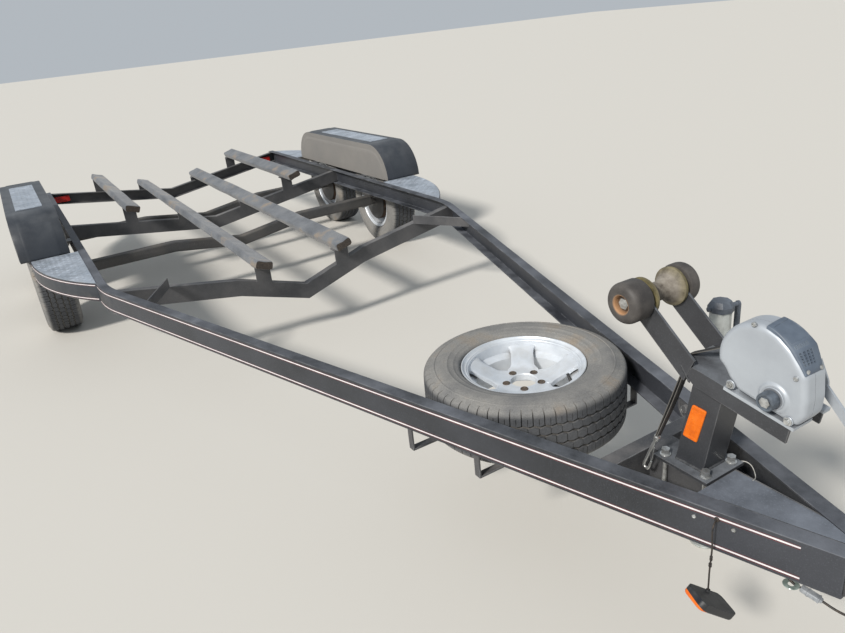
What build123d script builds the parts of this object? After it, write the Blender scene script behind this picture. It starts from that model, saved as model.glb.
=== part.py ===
"""Tandem axle bunk trailer for a bass boat, parked on its tongue jack. Millimetres, +X forward, +Z up."""
import os
from math import asin, atan, atan2, cos, degrees, hypot, radians, sin, sqrt, tan

from build123d import *

os.makedirs("parts", exist_ok=True)

# Bunks, carpeted boards on brackets
bunk_width = 95.0
bunk_thick = 45.0
bunk_radius = 12.0
hull_angle = 17.7
bunk_inner_y = 225.0
bunk_outer_y = 570.0
bunk_inner_top = 490.0
bunk_rear_inset = 17.0
bunk_long = 3150.0
bunk_short = 1620.0
bunk_long_overhang = 50.0
bunk_short_overhang = 190.0
bracket_width = 80.0
bracket_wall = 6.0
bracket_ledge = 60.0
bracket_rise = 45.0

# Stations along X: the rear ones from the rear end, the front ones back from the coupler's nose
overall_length = 6290.0
rear_overhang = 1867.0
axle_spacing = 880.0
bend_ahead = 1179.0
coupler_length = 258.0
tongue_insert = 135.0
rail_end_gap = 30.0
stand_behind_end = 367.0
tongue_cross_behind = 123.0
jack_behind = 230.0
left_lamp_behind = 200.0
wire_behind = 232.8
rear_x = -overall_length / 2
nose_x = overall_length / 2
axle_x = rear_x + rear_overhang
rear_axle_x = axle_x - axle_spacing
bend_x = axle_x + bend_ahead
bunk_rear_x = rear_x + bunk_rear_inset
cross_front_x = bunk_rear_x + bunk_long - bunk_long_overhang
cross_mid_x = bunk_rear_x + bunk_short - bunk_short_overhang
coupler_back_x = nose_x - coupler_length
tongue_front_x = coupler_back_x + tongue_insert
rail_end_x = coupler_back_x - rail_end_gap
stand_x = rail_end_x - stand_behind_end
tongue_cross_x = stand_x - tongue_cross_behind
jack_x = stand_x - jack_behind
left_lamp_x = rail_end_x - left_lamp_behind
wire_x = rail_end_x - wire_behind

# Main rails, C channels that open inward
rail_half_width = 990.0
rail_top = 521.0
rail_height = 104.0
rail_flange = 42.0
rail_wall = 4.5
rail_bend_radius = 700.0
tongue_width = 76.0
tongue_wall = 5.0
rail_end_spread = 9.2
rail_bottom = rail_top - rail_height
inner_top = rail_top - rail_wall
inner_bottom = rail_bottom + rail_wall
inner_height = inner_top - inner_bottom
rail_end_y = tongue_width / 2 + rail_end_spread
rail_slope = (rail_half_width - rail_end_y) / (rail_end_x - bend_x)
rail_angle = degrees(atan(rail_slope))
web_inner = rail_half_width - rail_wall

# V cross members, C channels 4.5 thick
cross_height = 86.0
cross_flange = 42.0
cross_wall = 4.5
cross_slope = 0.154
front_slope_outer = 0.17
front_slope_inner = 0.325
front_knee_inset = 630.0
brace_height = 50.0
brace_wall = 5.0
brace_inset = 300.0
front_knee_y = rail_half_width - front_knee_inset
brace_cross_y = rail_half_width - brace_inset
brace_ahead = 310.0

# Wheels and tyres
tyre_radius = 315.0
tyre_width = 200.0
wheel_offset = 165.0
wheel_y = rail_half_width + wheel_offset
bead_radius = 178.0
rim_radius = 195.0
rim_half_width = 84.0
stud_circle = 114.3
stud_hole = 15.0
centre_bore = 82.0
window_count = 5
hub_radius = 44.0
drum_radius = 135.0
drum_depth = 62.0
spindle_radius = 20.0
running_gap = 0.3
tyre_bead_inset = 8.5
tyre_rim_cover = 1.5
tyre_flare_out = 5.0
tyre_flare_side = 10.0
tyre_bulge_radius = 250.0
tyre_shoulder_drop = 22.0
tyre_shoulder_side = 8.0
tyre_crown_side = 27.0
lip_width = 8.0
lip_wall = 6.0
well_depth = 22.0
barrel_inside = ((0.0, 42.0), (1.0, 28.0), (1.0, -18.0), (0.0, -32.0))
barrel_outside = ((0.0, -28.0), (1.0, -14.0), (1.0, 24.0), (0.0, 38.0))
wheel_seat = bead_radius - running_gap
hub_face_radius = 78.0
hub_face_depth = 22.0
spoke_front = ((150.0, 60.0), (wheel_seat - 3.0, 64.0))
spoke_back = ((wheel_seat - 3.0, 48.0), (150.0, 40.0), (90.0, 6.0))
window_points = ((92.0, -14.0), (158.0, -62.0), (166.0, 0.0), (158.0, 62.0), (92.0, 14.0))
drum_wall = 12.0
drum_face = 20.0
drum_lip = 10.0
hub_cap_depth = 30.0
hub_cap_edge = 28.0
wheel_stud_radius = 6.0
wheel_stud_length = 38.0
wheel_nut_radius = 10.5
wheel_nut_height = 16.0

# Axles, bent square tube on torsion arms
axle_tube = 64.0
axle_tube_ahead = 130.0
axle_tube_top = 398.0
axle_tube_end_inset = 18.0
axle_bend_inset = 560.0
axle_tube_end_y = rail_half_width - axle_tube_end_inset
axle_bend_y = rail_half_width - axle_bend_inset
axle_drop = 65.0
axle_bend_radius = 150.0
arm_thick = 14.0
arm_width = 62.0
backing_gap = 3.0
backing_thick = 5.0
backing_inset = 2.0
axle_corner = 10.0
axle_seat_margin = 28.0
spindle_past_wheel = 18.0

# Fenders and steps
fender_gap = 35.0
fender_width = 260.0
fender_inner_y = rail_half_width + fender_gap
fender_outer_y = fender_inner_y + fender_width
fender_top = 754.0
fender_end_radius = 233.0
fender_shoulder = 58.0
fender_wall = 3.0
fender_front_ahead = 350.0
fender_rear_behind = 1230.0
step_width = 245.0
step_outer_y = rail_half_width + step_width
step_front_length = 720.0
step_rear_length = 560.0
step_depth = 92.0
step_wall = 3.0
tread_thick = 3.0
tread_margin = 5.0
top_tread_front = 40.0
top_tread_rear = -840.0

# Spare and its cradle
spare_z = 442.0
spare_clearance = 3.0
spare_reach = (tyre_radius + spare_clearance + rail_flange) / cos(radians(rail_angle))
spare_x = bend_x + (rail_half_width - spare_reach) / rail_slope
cradle_wall = 6.0
cradle_width = 25.0
cradle_behind = 70.0
cradle_before = 170.0
cradle_inset = 8.0

# Coupler
ball_diameter = 50.8
ball_clearance = 1.0
coupler_wall = 5.0
coupler_skirt = 42.0
socket_margin = 4.0
socket_depth = 38.0
socket_roof = 4.0
latch_length = 90.0
latch_width = 30.0
latch_height = 14.0
latch_behind = 70.0
latch_corner = 8.0
coupler_neck = 5.0

# Winch stand, leaning forward
stand_lean = 9.5
plate_thick = 8.0
plate_length = 152.0
plate_width = 130.0
post_behind = 9.0
plate_behind = 14.5
post_depth = 76.0
post_width = 76.0
post_wall = 5.0
head_height = 265.0
arm_height = 42.0
arm_width_up = 60.0
arm_rise = 29.5
arm_lap = 16.0
arm_pin_offset = 10.0
arm_end = 24.0
arm_end_radius = 16.0
arm_proud = 1.5
arm_wall = 6.0
head_half_width = 58.0
head_rear = -45.0
deck_rear = -77.0
deck_gap = 1.0
head_front = 190.0
roller_back = 215.0
roller_up = 357.0
roller_side_gap = 2.0
roller_waist = 23.0
roller_end_radius = 47.0
roller_rim = 8.0
bell_radius = 49.0
right_bell_length = 58.0
left_bell_length = 38.0
bell_lip = 4.0
bell_round = 17.0
bell_recess_radius = 21.0
bell_recess = 18.0
pin_radius = 8.0
pin_head = 9.0
pin_head_radius = 14.0
stud_offset_x = 57.0
stud_offset_y = 45.0
stud_radius = 6.0
stud_below = 14.0
flange_radius = 13.0
flange_thick = 3.0
nut_radius = 10.4
nut_height = 14.0
lower_nut_height = 10.0

# Winch
winch_near_y = -68.0
housing_depth = 60.0
lobe_x = 97.0
lobe_up = 355.0
lobe_radius = 89.0
housing_round = 12.0
contour_inset = 17.0
contour_proud = 4.0
foot_thick = 8.0
foot_rear = 42.0
foot_front = 201.0
vent_angles = (18.0, 55.0, 92.0)
vent_inner = 80.0
vent_outer = 98.0
vent_near_y = -60.0
vent_far_y = -14.0
crank_x = 147.0
crank_up = 312.0
knob_length = 24.0
knob_boss = 6.0
knob_boss_radius = 24.0
far_plate_front = 11.0
far_plate_slope = 8.0
far_plate_rear = 8.0
far_plate_over_crank = 10.0
far_plate_past_crank = 5.0
far_plate_radius = 50.0
winch_arm_x = 138.0
winch_arm_drop = 100.0
winch_arm_width = 20.0
winch_grip_radius = 15.0
winch_grip_length = 85.0
winch_arm_gap = 10.0
winch_arm_thick = 6.0
far_plate_thick = 4.0
drum_core_radius = 22.0
drum_below = 10.0
strap_radius = 46.0
strap_width = 50.0
strap_thick = 3.0
strap_clear = 2.0
strap_run_width = 24.0
strap_turn_y = -16.0
strap_leave_width = 40.0
strap_leave_aside = 5.0
strap_end_width = 16.0
strap_end_thick = 6.0
hook_behind = 70.0
hook_aside = 78.0
hook_top_z = 589.0
hook_tip_back = 42.0
hook_tip_drop = 106.0
hook_head = 14.0
hook_head_radius = 8.0
hook_rod = 3.5
hook_gate = 2.0
hook_gap = 15.0
hook_bend = 5.0
far_plate_y = 52.0
knob_radius = 19.0

# Jack
jack_tube_radius = 28.0
jack_leg_radius = 22.5
jack_standoff = 60.0
jack_ahead = 22.0
jack_top_z = 793.0
jack_bottom_z = 235.0
jack_foot_radius = 42.0
jack_leg_top = 560.0
jack_foot_thick = 6.0
jack_pivot_z = 469.0
swivel_plate = 8.0
swivel_plate_length = 120.0
swivel_plate_height = 90.0
swivel_plate_corner = 8.0
collar_length = 40.0
collar_height = 56.0
swivel_face = 22.0
swivel_radius = 30.0
collar_thick = 6.0
pivot_disc_radius = 34.0
pivot_disc_thick = 5.0
spindle_stub = 9.0
jack_cap_radius = 34.0
jack_cap_height = 28.0
jack_cap_sides = 8
jack_cap_taper = 32.0
jack_cap_waist = 0.5
crank_shaft_level = 0.7
crank_shaft_past = 5.0
crank_out = 14.0
crank_arm_thick = 6.0
crank_shaft_radius = 6.5
crank_length = 110.0
crank_width = 18.0
crank_knob_radius = 12.0
crank_knob_length = 40.0
spindle_hole = 12.3

# Lamps and loose wire
lamp_length = 118.0
lamp_height = 62.0
lamp_thick = 22.0
lamp_corner = 14.0
lamp_edge = 7.0
tail_lamp_length = 120.0
tail_lamp_height = 50.0
tail_lamp_depth = 24.0
tail_lamp_corner = 10.0
tail_lamp_inset = 110.0
tail_lamp_drop = 69.0
tail_lamp_z = rail_top - tail_lamp_drop
wire_z = 502.0
wire_end_z = 322.0
wire_diameter = 4.0
grommet_radius = 6.0
grommet_thick = 3.0
wire_start = grommet_thick + running_gap
hanging_long = (0.157, 0.766, -0.624)
hanging_lens = (-0.226, -0.587, -0.777)
wire_tie_x = 5.0
wire_tie_y = -22.0
wire_tie_radius = 5.0
wire_tie_rise = 6.0


def rail_y(x):
    """Distance from the centre line to a rail's outer face, round its bend too."""
    start = bend_x - rail_bend_radius * tan(radians(rail_angle / 2))
    run = x - start
    if run <= 0.0:
        return rail_half_width
    if run < rail_bend_radius * sin(radians(rail_angle)):
        return rail_half_width - rail_bend_radius + sqrt(rail_bend_radius**2 - run**2)
    return rail_half_width - (x - bend_x) * rail_slope


def save(part, name):
    """Label a finished piece and write its file."""
    part.label = name
    export_step(part, f"parts/{name}.step")


def side_name(side):
    """Left is +Y, right is -Y."""
    return "left" if side > 0 else "right"


def mirrored(part, side):
    """The piece as made for the left, or its mirror for the right."""
    return part if side > 0 else mirror(part, about=Plane.XZ)


def rail_strip(width):
    """Plan outline of one leg of the rail: from the outer face inward, with its long bend."""
    c = cos(radians(rail_angle))
    kink_shift = width * tan(radians(rail_angle / 2))
    with BuildSketch(Plane.XY) as strip:
        with BuildLine():
            Polyline(
                (rear_x, rail_half_width),
                (bend_x, rail_half_width),
                (rail_end_x, rail_end_y),
                (rail_end_x, rail_end_y - width / c),
                (bend_x - kink_shift, rail_half_width - width),
                (rear_x, rail_half_width - width),
                close=True,
            )
        make_face()
        kinks = strip.vertices().sort_by(Axis.X)[2:4].sort_by(Axis.Y)
        fillet(kinks[1], rail_bend_radius)
        inner = strip.vertices().filter_by_position(Axis.X, bend_x - kink_shift - 0.1, bend_x - kink_shift + 0.1)
        fillet(inner, rail_bend_radius - width)
    return strip.sketch


def make_rail():
    """Left rail: web and two flanges of one bent channel."""
    web = rail_strip(rail_wall)
    flange = rail_strip(rail_flange)
    with BuildPart() as rail:
        with BuildSketch(Plane.XY.offset(rail_bottom)):
            add(web)
        extrude(amount=rail_height)
        with BuildSketch(Plane.XY.offset(rail_bottom)):
            add(flange)
        extrude(amount=rail_wall)
        with BuildSketch(Plane.XY.offset(inner_top)):
            add(flange)
        extrude(amount=rail_wall)
    return rail.part


def v_profile(knots, height):
    """Closed YZ outline of a V: top line through the knots (y, z) on the left, mirrored to the right."""
    left = sorted(knots)
    top = [(-y, z) for y, z in reversed(left) if y > 0] + left
    bottom = [(y, z - height) for y, z in reversed(top)]
    return top + bottom


def v_channel(web_x, toward, knots):
    """V channel with its web's outer face at web_x and its flanges reaching toward -1 rearward or +1 forward."""
    web_back = min(web_x, web_x + toward * cross_wall)
    flange_back = min(web_x, web_x + toward * cross_flange)
    lower = [(y, z - cross_height + cross_wall) for y, z in knots]
    with BuildPart() as channel:
        with BuildSketch(Plane.YZ.offset(web_back)):
            with BuildLine():
                Polyline(*v_profile(knots, cross_height), close=True)
            make_face()
        extrude(amount=cross_wall)
        for line in (knots, lower):
            with BuildSketch(Plane.YZ.offset(flange_back)):
                with BuildLine():
                    Polyline(*v_profile(line, cross_wall), close=True)
                make_face()
            extrude(amount=cross_flange)
    return channel.part


def v_top(knots, y):
    """Height of a V's top line at a distance y from the centre line."""
    line = sorted(knots)
    for (y0, z0), (y1, z1) in zip(line, line[1:]):
        if y0 <= y <= y1:
            return z0 + (z1 - z0) * (y - y0) / (y1 - y0)
    return line[-1][1]


def bunk_top(y):
    """Height of the hull plane that the bunk tops lie in."""
    return bunk_inner_top + (y - bunk_inner_y) * tan(radians(hull_angle))


def bunk_bottom(y):
    """Height of the underside of a bunk above a point y."""
    return bunk_top(y) - bunk_thick / cos(radians(hull_angle))


def bracket(knots, web_x, toward, y, side):
    """Upright plate from a cross member to a bunk, with a ledge under the board."""
    near, far = y - bracket_width / 2, y + bracket_width / 2
    outline = [
        (near, v_top(knots, near)),
        (far, v_top(knots, far)),
        (far, bunk_bottom(far)),
        (near, bunk_bottom(near)),
    ]
    ledge = [
        (near, bunk_bottom(near) - bracket_wall),
        (far, bunk_bottom(far) - bracket_wall),
        (far, bunk_bottom(far)),
        (near, bunk_bottom(near)),
    ]
    plate_back = min(web_x, web_x + toward * bracket_wall)
    ledge_back = min(web_x, web_x + toward * bracket_ledge)
    with BuildPart() as upright:
        for shape, back, depth in ((outline, plate_back, bracket_wall), (ledge, ledge_back, bracket_ledge)):
            with BuildSketch(Plane.YZ.offset(back)):
                with BuildLine():
                    Polyline(*[(side * u, v) for u, v in shape], close=True)
                make_face()
            extrude(amount=depth)
    return upright.part


def cross_member(name, web_x, toward, knots, bunk_rows):
    """A V channel with the brackets of the bunks that it carries."""
    with BuildPart() as member:
        add(v_channel(web_x, toward, knots))
        for y in bunk_rows:
            for side in (1, -1):
                add(bracket(knots, web_x, toward, y, side))
        if name == "cross_front":
            for side in (1, -1):
                add(knee_brace(web_x, side))
    save(member.part, name)


def knee_brace(web_x, side):
    """Flat brace from the front cross member out to the rail."""
    end_x = web_x + brace_ahead
    end_y = rail_y(end_x) - rail_wall / cos(radians(rail_angle))
    run_x, run_y = end_x - web_x, end_y - brace_cross_y
    length = hypot(run_x, run_y)
    shift = brace_wall * length / run_x
    top = inner_top - 2.0
    with BuildPart() as brace:
        with BuildSketch(Plane.XY.offset(top - brace_height)):
            with BuildLine():
                Polyline(
                    (web_x, side * brace_cross_y),
                    (end_x, side * end_y),
                    (end_x - brace_wall * 2.2, side * (end_y + brace_wall * 2.2 * rail_slope)),
                    (web_x, side * (brace_cross_y + shift)),
                    close=True,
                )
            make_face()
        extrude(amount=brace_height)
    return brace.part


def bunk(y, length, side, rear):
    """Carpeted board with rounded edges, tilted to the hull."""
    middle = bunk_top(y) - bunk_thick / 2 / cos(radians(hull_angle))
    tilt = radians(hull_angle) * side
    board_plane = Plane(origin=(rear, side * y, middle), x_dir=(0, cos(tilt), sin(tilt)), z_dir=(1, 0, 0))
    with BuildPart() as board:
        with BuildSketch(board_plane):
            RectangleRounded(bunk_width, bunk_thick, bunk_radius)
        extrude(amount=length)
    return board.part


def tyre(plane):
    """Tyre as one closed ring about the plane's normal."""
    half = tyre_width / 2
    bead = rim_half_width - tyre_bead_inset
    with BuildPart() as ring:
        with BuildSketch(plane * Plane.XZ):
            with BuildLine():
                Polyline(
                    (bead_radius, -bead),
                    (rim_radius + tyre_rim_cover, -bead),
                    (rim_radius + tyre_flare_out, -half + tyre_flare_side),
                    (tyre_bulge_radius, -half),
                    (tyre_radius - tyre_shoulder_drop, -half + tyre_shoulder_side),
                    (tyre_radius, -half + tyre_crown_side),
                    (tyre_radius, half - tyre_crown_side),
                    (tyre_radius - tyre_shoulder_drop, half - tyre_shoulder_side),
                    (tyre_bulge_radius, half),
                    (rim_radius + tyre_flare_out, half - tyre_flare_side),
                    (rim_radius + tyre_rim_cover, bead),
                    (bead_radius, bead),
                    close=True,
                )
            make_face()
        revolve(axis=Axis(plane.origin, plane.z_dir))
    return ring.part


def rim(plane):
    """Five spoke cast wheel: barrel, dished spokes, hub face with stud holes. Outer face toward the normal."""
    seat = wheel_seat
    lip = rim_half_width
    inside = [(seat - lip_wall - step * well_depth, across) for step, across in barrel_inside]
    outside = [(seat - step * well_depth, across) for step, across in barrel_outside]
    with BuildPart() as wheel:
        with BuildSketch(plane * Plane.XZ):
            with BuildLine():
                Polyline(
                    (seat, lip - lip_width),
                    (rim_radius, lip - lip_width),
                    (rim_radius, lip),
                    (rim_radius - lip_wall, lip),
                    (seat - lip_wall, lip - lip_width),
                    *inside,
                    (seat - lip_wall, lip_width - lip),
                    (rim_radius - lip_wall, -lip),
                    (rim_radius, -lip),
                    (rim_radius, lip_width - lip),
                    (seat, lip_width - lip),
                    *outside,
                    close=True,
                )
            make_face()
        revolve(axis=Axis(plane.origin, plane.z_dir))
        with BuildSketch(plane * Plane.XZ):
            with BuildLine():
                Polyline(
                    (centre_bore / 2, 0.0),
                    (centre_bore / 2, hub_face_depth),
                    (hub_face_radius, hub_face_depth),
                    *spoke_front,
                    *spoke_back,
                    (hub_face_radius, 0.0),
                    close=True,
                )
            make_face()
        revolve(axis=Axis(plane.origin, plane.z_dir))
        with BuildSketch(plane.offset(-1.0)):
            with PolarLocations(0, window_count, start_angle=180 / window_count):
                Polygon(*window_points, align=None)
        extrude(amount=lip, mode=Mode.SUBTRACT)
        with BuildSketch(plane.offset(-1.0)):
            with PolarLocations(stud_circle / 2, window_count, start_angle=0):
                Circle(stud_hole / 2)
        extrude(amount=lip, mode=Mode.SUBTRACT)
    return wheel.part


def hub(plane):
    """Brake drum with its flange against the wheel and a bored hub behind it."""
    bore = spindle_radius + running_gap
    with BuildPart() as drum:
        with BuildSketch(plane * Plane.XZ):
            with BuildLine():
                Polyline(
                    (bore, -drum_depth),
                    (hub_radius, -drum_depth),
                    (hub_radius, -drum_face),
                    (drum_radius - drum_wall, -drum_face),
                    (drum_radius - drum_wall, -drum_depth - drum_lip),
                    (drum_radius, -drum_depth - drum_lip),
                    (drum_radius, 0.0),
                    (centre_bore / 2 - 1.0, 0.0),
                    (centre_bore / 2 - 1.0, hub_cap_edge),
                    (0.0, hub_cap_depth),
                    (0.0, drum_face),
                    (bore, drum_face),
                    close=True,
                )
            make_face()
        revolve(axis=Axis(plane.origin, plane.z_dir))
        with BuildSketch(plane):
            with PolarLocations(stud_circle / 2, window_count, start_angle=0):
                Circle(wheel_stud_radius)
        extrude(amount=wheel_stud_length)
        with BuildSketch(plane.offset(hub_face_depth)):
            with PolarLocations(stud_circle / 2, window_count, start_angle=0):
                RegularPolygon(wheel_nut_radius, 6)
        extrude(amount=wheel_nut_height)
    return drum.part


def axle(station):
    """Bent square tube with a torsion arm, a spindle and a rail bracket at each end."""
    tube_x = station + axle_tube_ahead
    centre = axle_tube_top - axle_tube / 2
    low = centre - axle_drop
    end = axle_tube_end_y
    with BuildPart() as beam:
        with BuildLine() as path:
            FilletPolyline(
                (tube_x, -end, centre),
                (tube_x, -axle_bend_y, centre),
                (tube_x, 0, low),
                (tube_x, axle_bend_y, centre),
                (tube_x, end, centre),
                radius=axle_bend_radius,
            )
        with BuildSketch(Plane(origin=(tube_x, -end, centre), x_dir=(1, 0, 0), z_dir=(0, 1, 0))):
            RectangleRounded(axle_tube, axle_tube, axle_corner)
        sweep(path=path.line)
        for side in (1, -1):
            arm_start = Plane(origin=(0, side * end, 0), x_dir=(1, 0, 0), z_dir=(0, -side, 0))
            span = hypot(axle_tube_ahead, centre - tyre_radius)
            dip = side * degrees(atan2(centre - tyre_radius, axle_tube_ahead))
            with BuildSketch(arm_start.offset(-arm_thick)):
                with Locations(((tube_x + station) / 2, side * (centre + tyre_radius) / 2)):
                    SlotCenterToCenter(span, arm_width, rotation=dip)
            extrude(amount=arm_thick)
            spindle_start = Plane(origin=(station, side * (end + arm_thick), tyre_radius), z_dir=(0, side, 0))
            with BuildSketch(spindle_start):
                Circle(spindle_radius)
            extrude(amount=wheel_y + spindle_past_wheel - end - arm_thick)
            backing_y = wheel_y - drum_depth - drum_lip - backing_gap
            with BuildSketch(Plane(origin=(station, side * backing_y, tyre_radius), z_dir=(0, -side, 0))):
                Circle(drum_radius - backing_inset)
            extrude(amount=backing_thick)
            seat_plane = Plane.XY.offset(axle_tube_top)
            with BuildSketch(seat_plane):
                with Locations((tube_x, side * (rail_half_width - rail_flange / 2))):
                    Rectangle(axle_tube + 2 * axle_seat_margin, rail_flange)
            extrude(amount=rail_bottom - axle_tube_top)
    return beam.part


def fender_outline(inset, plane):
    """Side outline of a tandem fender: flat top and two quarter round ends."""
    front = axle_x + fender_front_ahead - inset
    rear = axle_x - fender_rear_behind + inset
    top = fender_top - inset
    radius = fender_end_radius - inset
    with BuildSketch(plane) as outline:
        with BuildLine():
            Line((rear, rail_top), (front, rail_top))
            RadiusArc((front, rail_top), (front - radius, top), -radius)
            Line((front - radius, top), (rear + radius, top))
            RadiusArc((rear + radius, top), (rear, rail_top), -radius)
        make_face()
    return outline.sketch


def fender(side):
    """Fender shell, open below, with rounded shoulders and two brackets out from the rail."""
    outer_plane = Plane(origin=(0, fender_inner_y, 0), x_dir=(1, 0, 0), z_dir=(0, -1, 0))
    inner_plane = outer_plane.offset(-fender_wall)
    width = fender_outer_y - fender_inner_y
    with BuildPart() as shell:
        add(extrude(fender_outline(0.0, outer_plane), amount=-width))
        long_edges = shell.edges().filter_by(Axis.Y, reverse=True).filter_by(lambda e: e.center().Z > rail_top + 1.0)
        fillet(long_edges, fender_shoulder)
        cavity = extrude(fender_outline(fender_wall, inner_plane), amount=-(width - 2 * fender_wall))
        with BuildPart(mode=Mode.PRIVATE) as hollow:
            add(cavity)
            rims = hollow.edges().filter_by(Axis.Y, reverse=True).filter_by(lambda e: e.center().Z > rail_top + 1.0)
            fillet(rims, fender_shoulder - fender_wall)
        add(hollow.part, mode=Mode.SUBTRACT)
        inside = fender_inner_y + fender_wall
        ledge = [
            (rail_half_width, rail_top - bracket_wall),
            (inside + bracket_wall, rail_top - bracket_wall),
            (inside + bracket_wall, rail_top + bracket_rise),
            (inside, rail_top + bracket_rise),
            (inside, rail_top),
            (rail_half_width, rail_top),
        ]
        for station in (axle_x, rear_axle_x):
            with BuildSketch(Plane.YZ.offset(station - bracket_width / 2)):
                with BuildLine():
                    Polyline(*ledge, close=True)
                make_face()
            extrude(amount=bracket_width)
    return mirrored(shell.part, side)


def step_outline(start, length, inset, height, forward):
    """Plan of a step: straight against the rail, its free edge one arc."""
    tip = start + forward * (length - inset)
    outer = step_outer_y - inset
    inner = rail_half_width + (inset if inset > step_wall else 0.0)
    rise = outer - rail_half_width
    run = length - inset
    radius = (run * run + rise * rise) / (2 * rise)
    begin = start + forward * (inset if inset > step_wall else 0.0)
    with BuildSketch(Plane.XY.offset(height)) as plan:
        with BuildLine():
            Line((begin, rail_half_width), (begin, outer))
            RadiusArc((begin, outer), (tip, rail_half_width), forward * radius)
            Line((tip, rail_half_width), (begin, rail_half_width))
        make_face()
    return plan.sketch


def step_box(start, length, forward, side):
    """Step skirt with a flat deck under the tread plate."""
    with BuildPart() as box:
        add(extrude(step_outline(start, length, 0.0, rail_top - step_depth, forward), amount=step_depth))
        deck_cut = step_depth - step_wall
        cut = extrude(step_outline(start, length, step_wall, rail_top - step_depth, forward), amount=deck_cut)
        add(cut, mode=Mode.SUBTRACT)
    return mirrored(box.part, side)


def tread_plates(side):
    """Bright tread plates on both steps and on the fender's flat top."""
    front = axle_x + fender_front_ahead
    rear = axle_x - fender_rear_behind
    top_front = axle_x + top_tread_front
    top_rear = axle_x + top_tread_rear
    flat = fender_outer_y - fender_inner_y - 2 * fender_shoulder
    with BuildPart() as plates:
        add(extrude(step_outline(front, step_front_length, tread_margin, rail_top, 1), amount=tread_thick))
        add(extrude(step_outline(rear, step_rear_length, tread_margin, rail_top, -1), amount=tread_thick))
        with BuildSketch(Plane.XY.offset(fender_top)):
            with Locations(((top_front + top_rear) / 2, (fender_inner_y + fender_outer_y) / 2)):
                RectangleRounded(top_front - top_rear, flat - 2.0, 6.0)
        extrude(amount=tread_thick)
    return mirrored(plates.part, side)


def cradle():
    """Two flat bars bent to a U under the spare, hung from the rails' lower flanges."""
    floor_top = spare_z - tyre_width / 2 - running_gap
    with BuildPart() as bars:
        for station in (-cradle_behind, cradle_before):
            x = spare_x + station
            half = rail_y(x + cradle_width / 2) - cradle_inset
            bar = Plane(origin=(x - cradle_width / 2, 0, 0), x_dir=(0, 1, 0), z_dir=(1, 0, 0))
            with BuildSketch(bar):
                with BuildLine():
                    Polyline(
                        (-half, rail_bottom),
                        (-half, floor_top - cradle_wall),
                        (half, floor_top - cradle_wall),
                        (half, rail_bottom),
                        (half - cradle_wall, rail_bottom),
                        (half - cradle_wall, floor_top),
                        (cradle_wall - half, floor_top),
                        (cradle_wall - half, rail_bottom),
                        close=True,
                    )
                make_face()
            extrude(amount=cradle_width)
    return bars.part


def tongue_cross():
    """Straight channel between the rails behind the winch stand, its web forward."""
    wall_y = rail_wall / cos(radians(rail_angle))
    front, back = tongue_cross_x, tongue_cross_x - cross_flange
    web_back = front - cross_wall

    def plan(x0, x1):
        y0, y1 = rail_y(x0) - wall_y, rail_y(x1) - wall_y
        return [(x0, -y0), (x1, -y1), (x1, y1), (x0, y0)]

    layers = (
        (plan(web_back, front), inner_bottom, inner_height),
        (plan(back, front), inner_bottom, cross_wall),
        (plan(back, front), inner_top - cross_wall, cross_wall),
    )
    with BuildPart() as member:
        for outline, base, height in layers:
            with BuildSketch(Plane.XY.offset(base)):
                with BuildLine():
                    Polyline(*outline, close=True)
                make_face()
            extrude(amount=height)
    return member.part


def tongue_tube():
    """Rectangular tube on the centre line from the tongue cross member to the coupler."""
    with BuildPart() as tube:
        with BuildSketch(Plane.YZ.offset(tongue_cross_x)):
            with Locations((0, (inner_top + inner_bottom) / 2)):
                Rectangle(tongue_width, inner_height)
                Rectangle(tongue_width - 2 * tongue_wall, inner_height - 2 * tongue_wall, mode=Mode.SUBTRACT)
        extrude(amount=tongue_front_x - tongue_cross_x)
    return tube.part


def coupler():
    """Pressed ball coupler: a channel over the tongue tube, a flared hood and a ball socket."""
    socket = ball_diameter / 2 + ball_clearance
    ball_x = nose_x - socket - coupler_wall - socket_margin
    half = tongue_width / 2 + coupler_wall
    top = inner_top + coupler_wall
    hood = socket + coupler_wall + socket_margin
    with BuildPart() as body:
        with BuildSketch(Plane.XY.offset(inner_top)):
            with BuildLine():
                Polyline(
                    (coupler_back_x, -half),
                    (tongue_front_x + coupler_neck, -half),
                    (ball_x, -hood),
                    (ball_x, hood),
                    (tongue_front_x + coupler_neck, half),
                    (coupler_back_x, half),
                    close=True,
                )
            make_face()
            with Locations((ball_x, 0)):
                Circle(hood)
        extrude(amount=coupler_wall)
        for side in (1, -1):
            with BuildSketch(Plane.XY.offset(inner_top - coupler_skirt)):
                with Locations(((coupler_back_x + tongue_front_x) / 2, side * (half - coupler_wall / 2))):
                    Rectangle(tongue_front_x - coupler_back_x, coupler_wall)
            extrude(amount=coupler_skirt)
        with BuildSketch(Plane.XY.offset(inner_top - socket_depth)):
            with Locations((ball_x, 0)):
                Circle(hood)
        extrude(amount=socket_depth)
        with BuildSketch(Plane.XY.offset(inner_top - socket_depth)):
            with Locations((ball_x, 0)):
                Circle(socket)
        extrude(amount=socket_depth - socket_roof, mode=Mode.SUBTRACT)
        with BuildSketch(Plane.XY.offset(top)):
            with Locations((ball_x - latch_behind, 0)):
                RectangleRounded(latch_length, latch_width, latch_corner)
        extrude(amount=latch_height)
    return body.part


stand_s, stand_c = sin(radians(stand_lean)), cos(radians(stand_lean))
plate_top = inner_top + plate_thick
plate_x = stand_x - plate_behind
stand_side = Plane(origin=(stand_x, 0, plate_top), x_dir=(stand_c, 0, -stand_s), z_dir=(0, -1, 0))


def stand_point(forward, up, y=0.0):
    """A point of the leaning stand in the part's own frame."""
    return (stand_x + forward * stand_c + up * stand_s, y, plate_top - forward * stand_s + up * stand_c)


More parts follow.
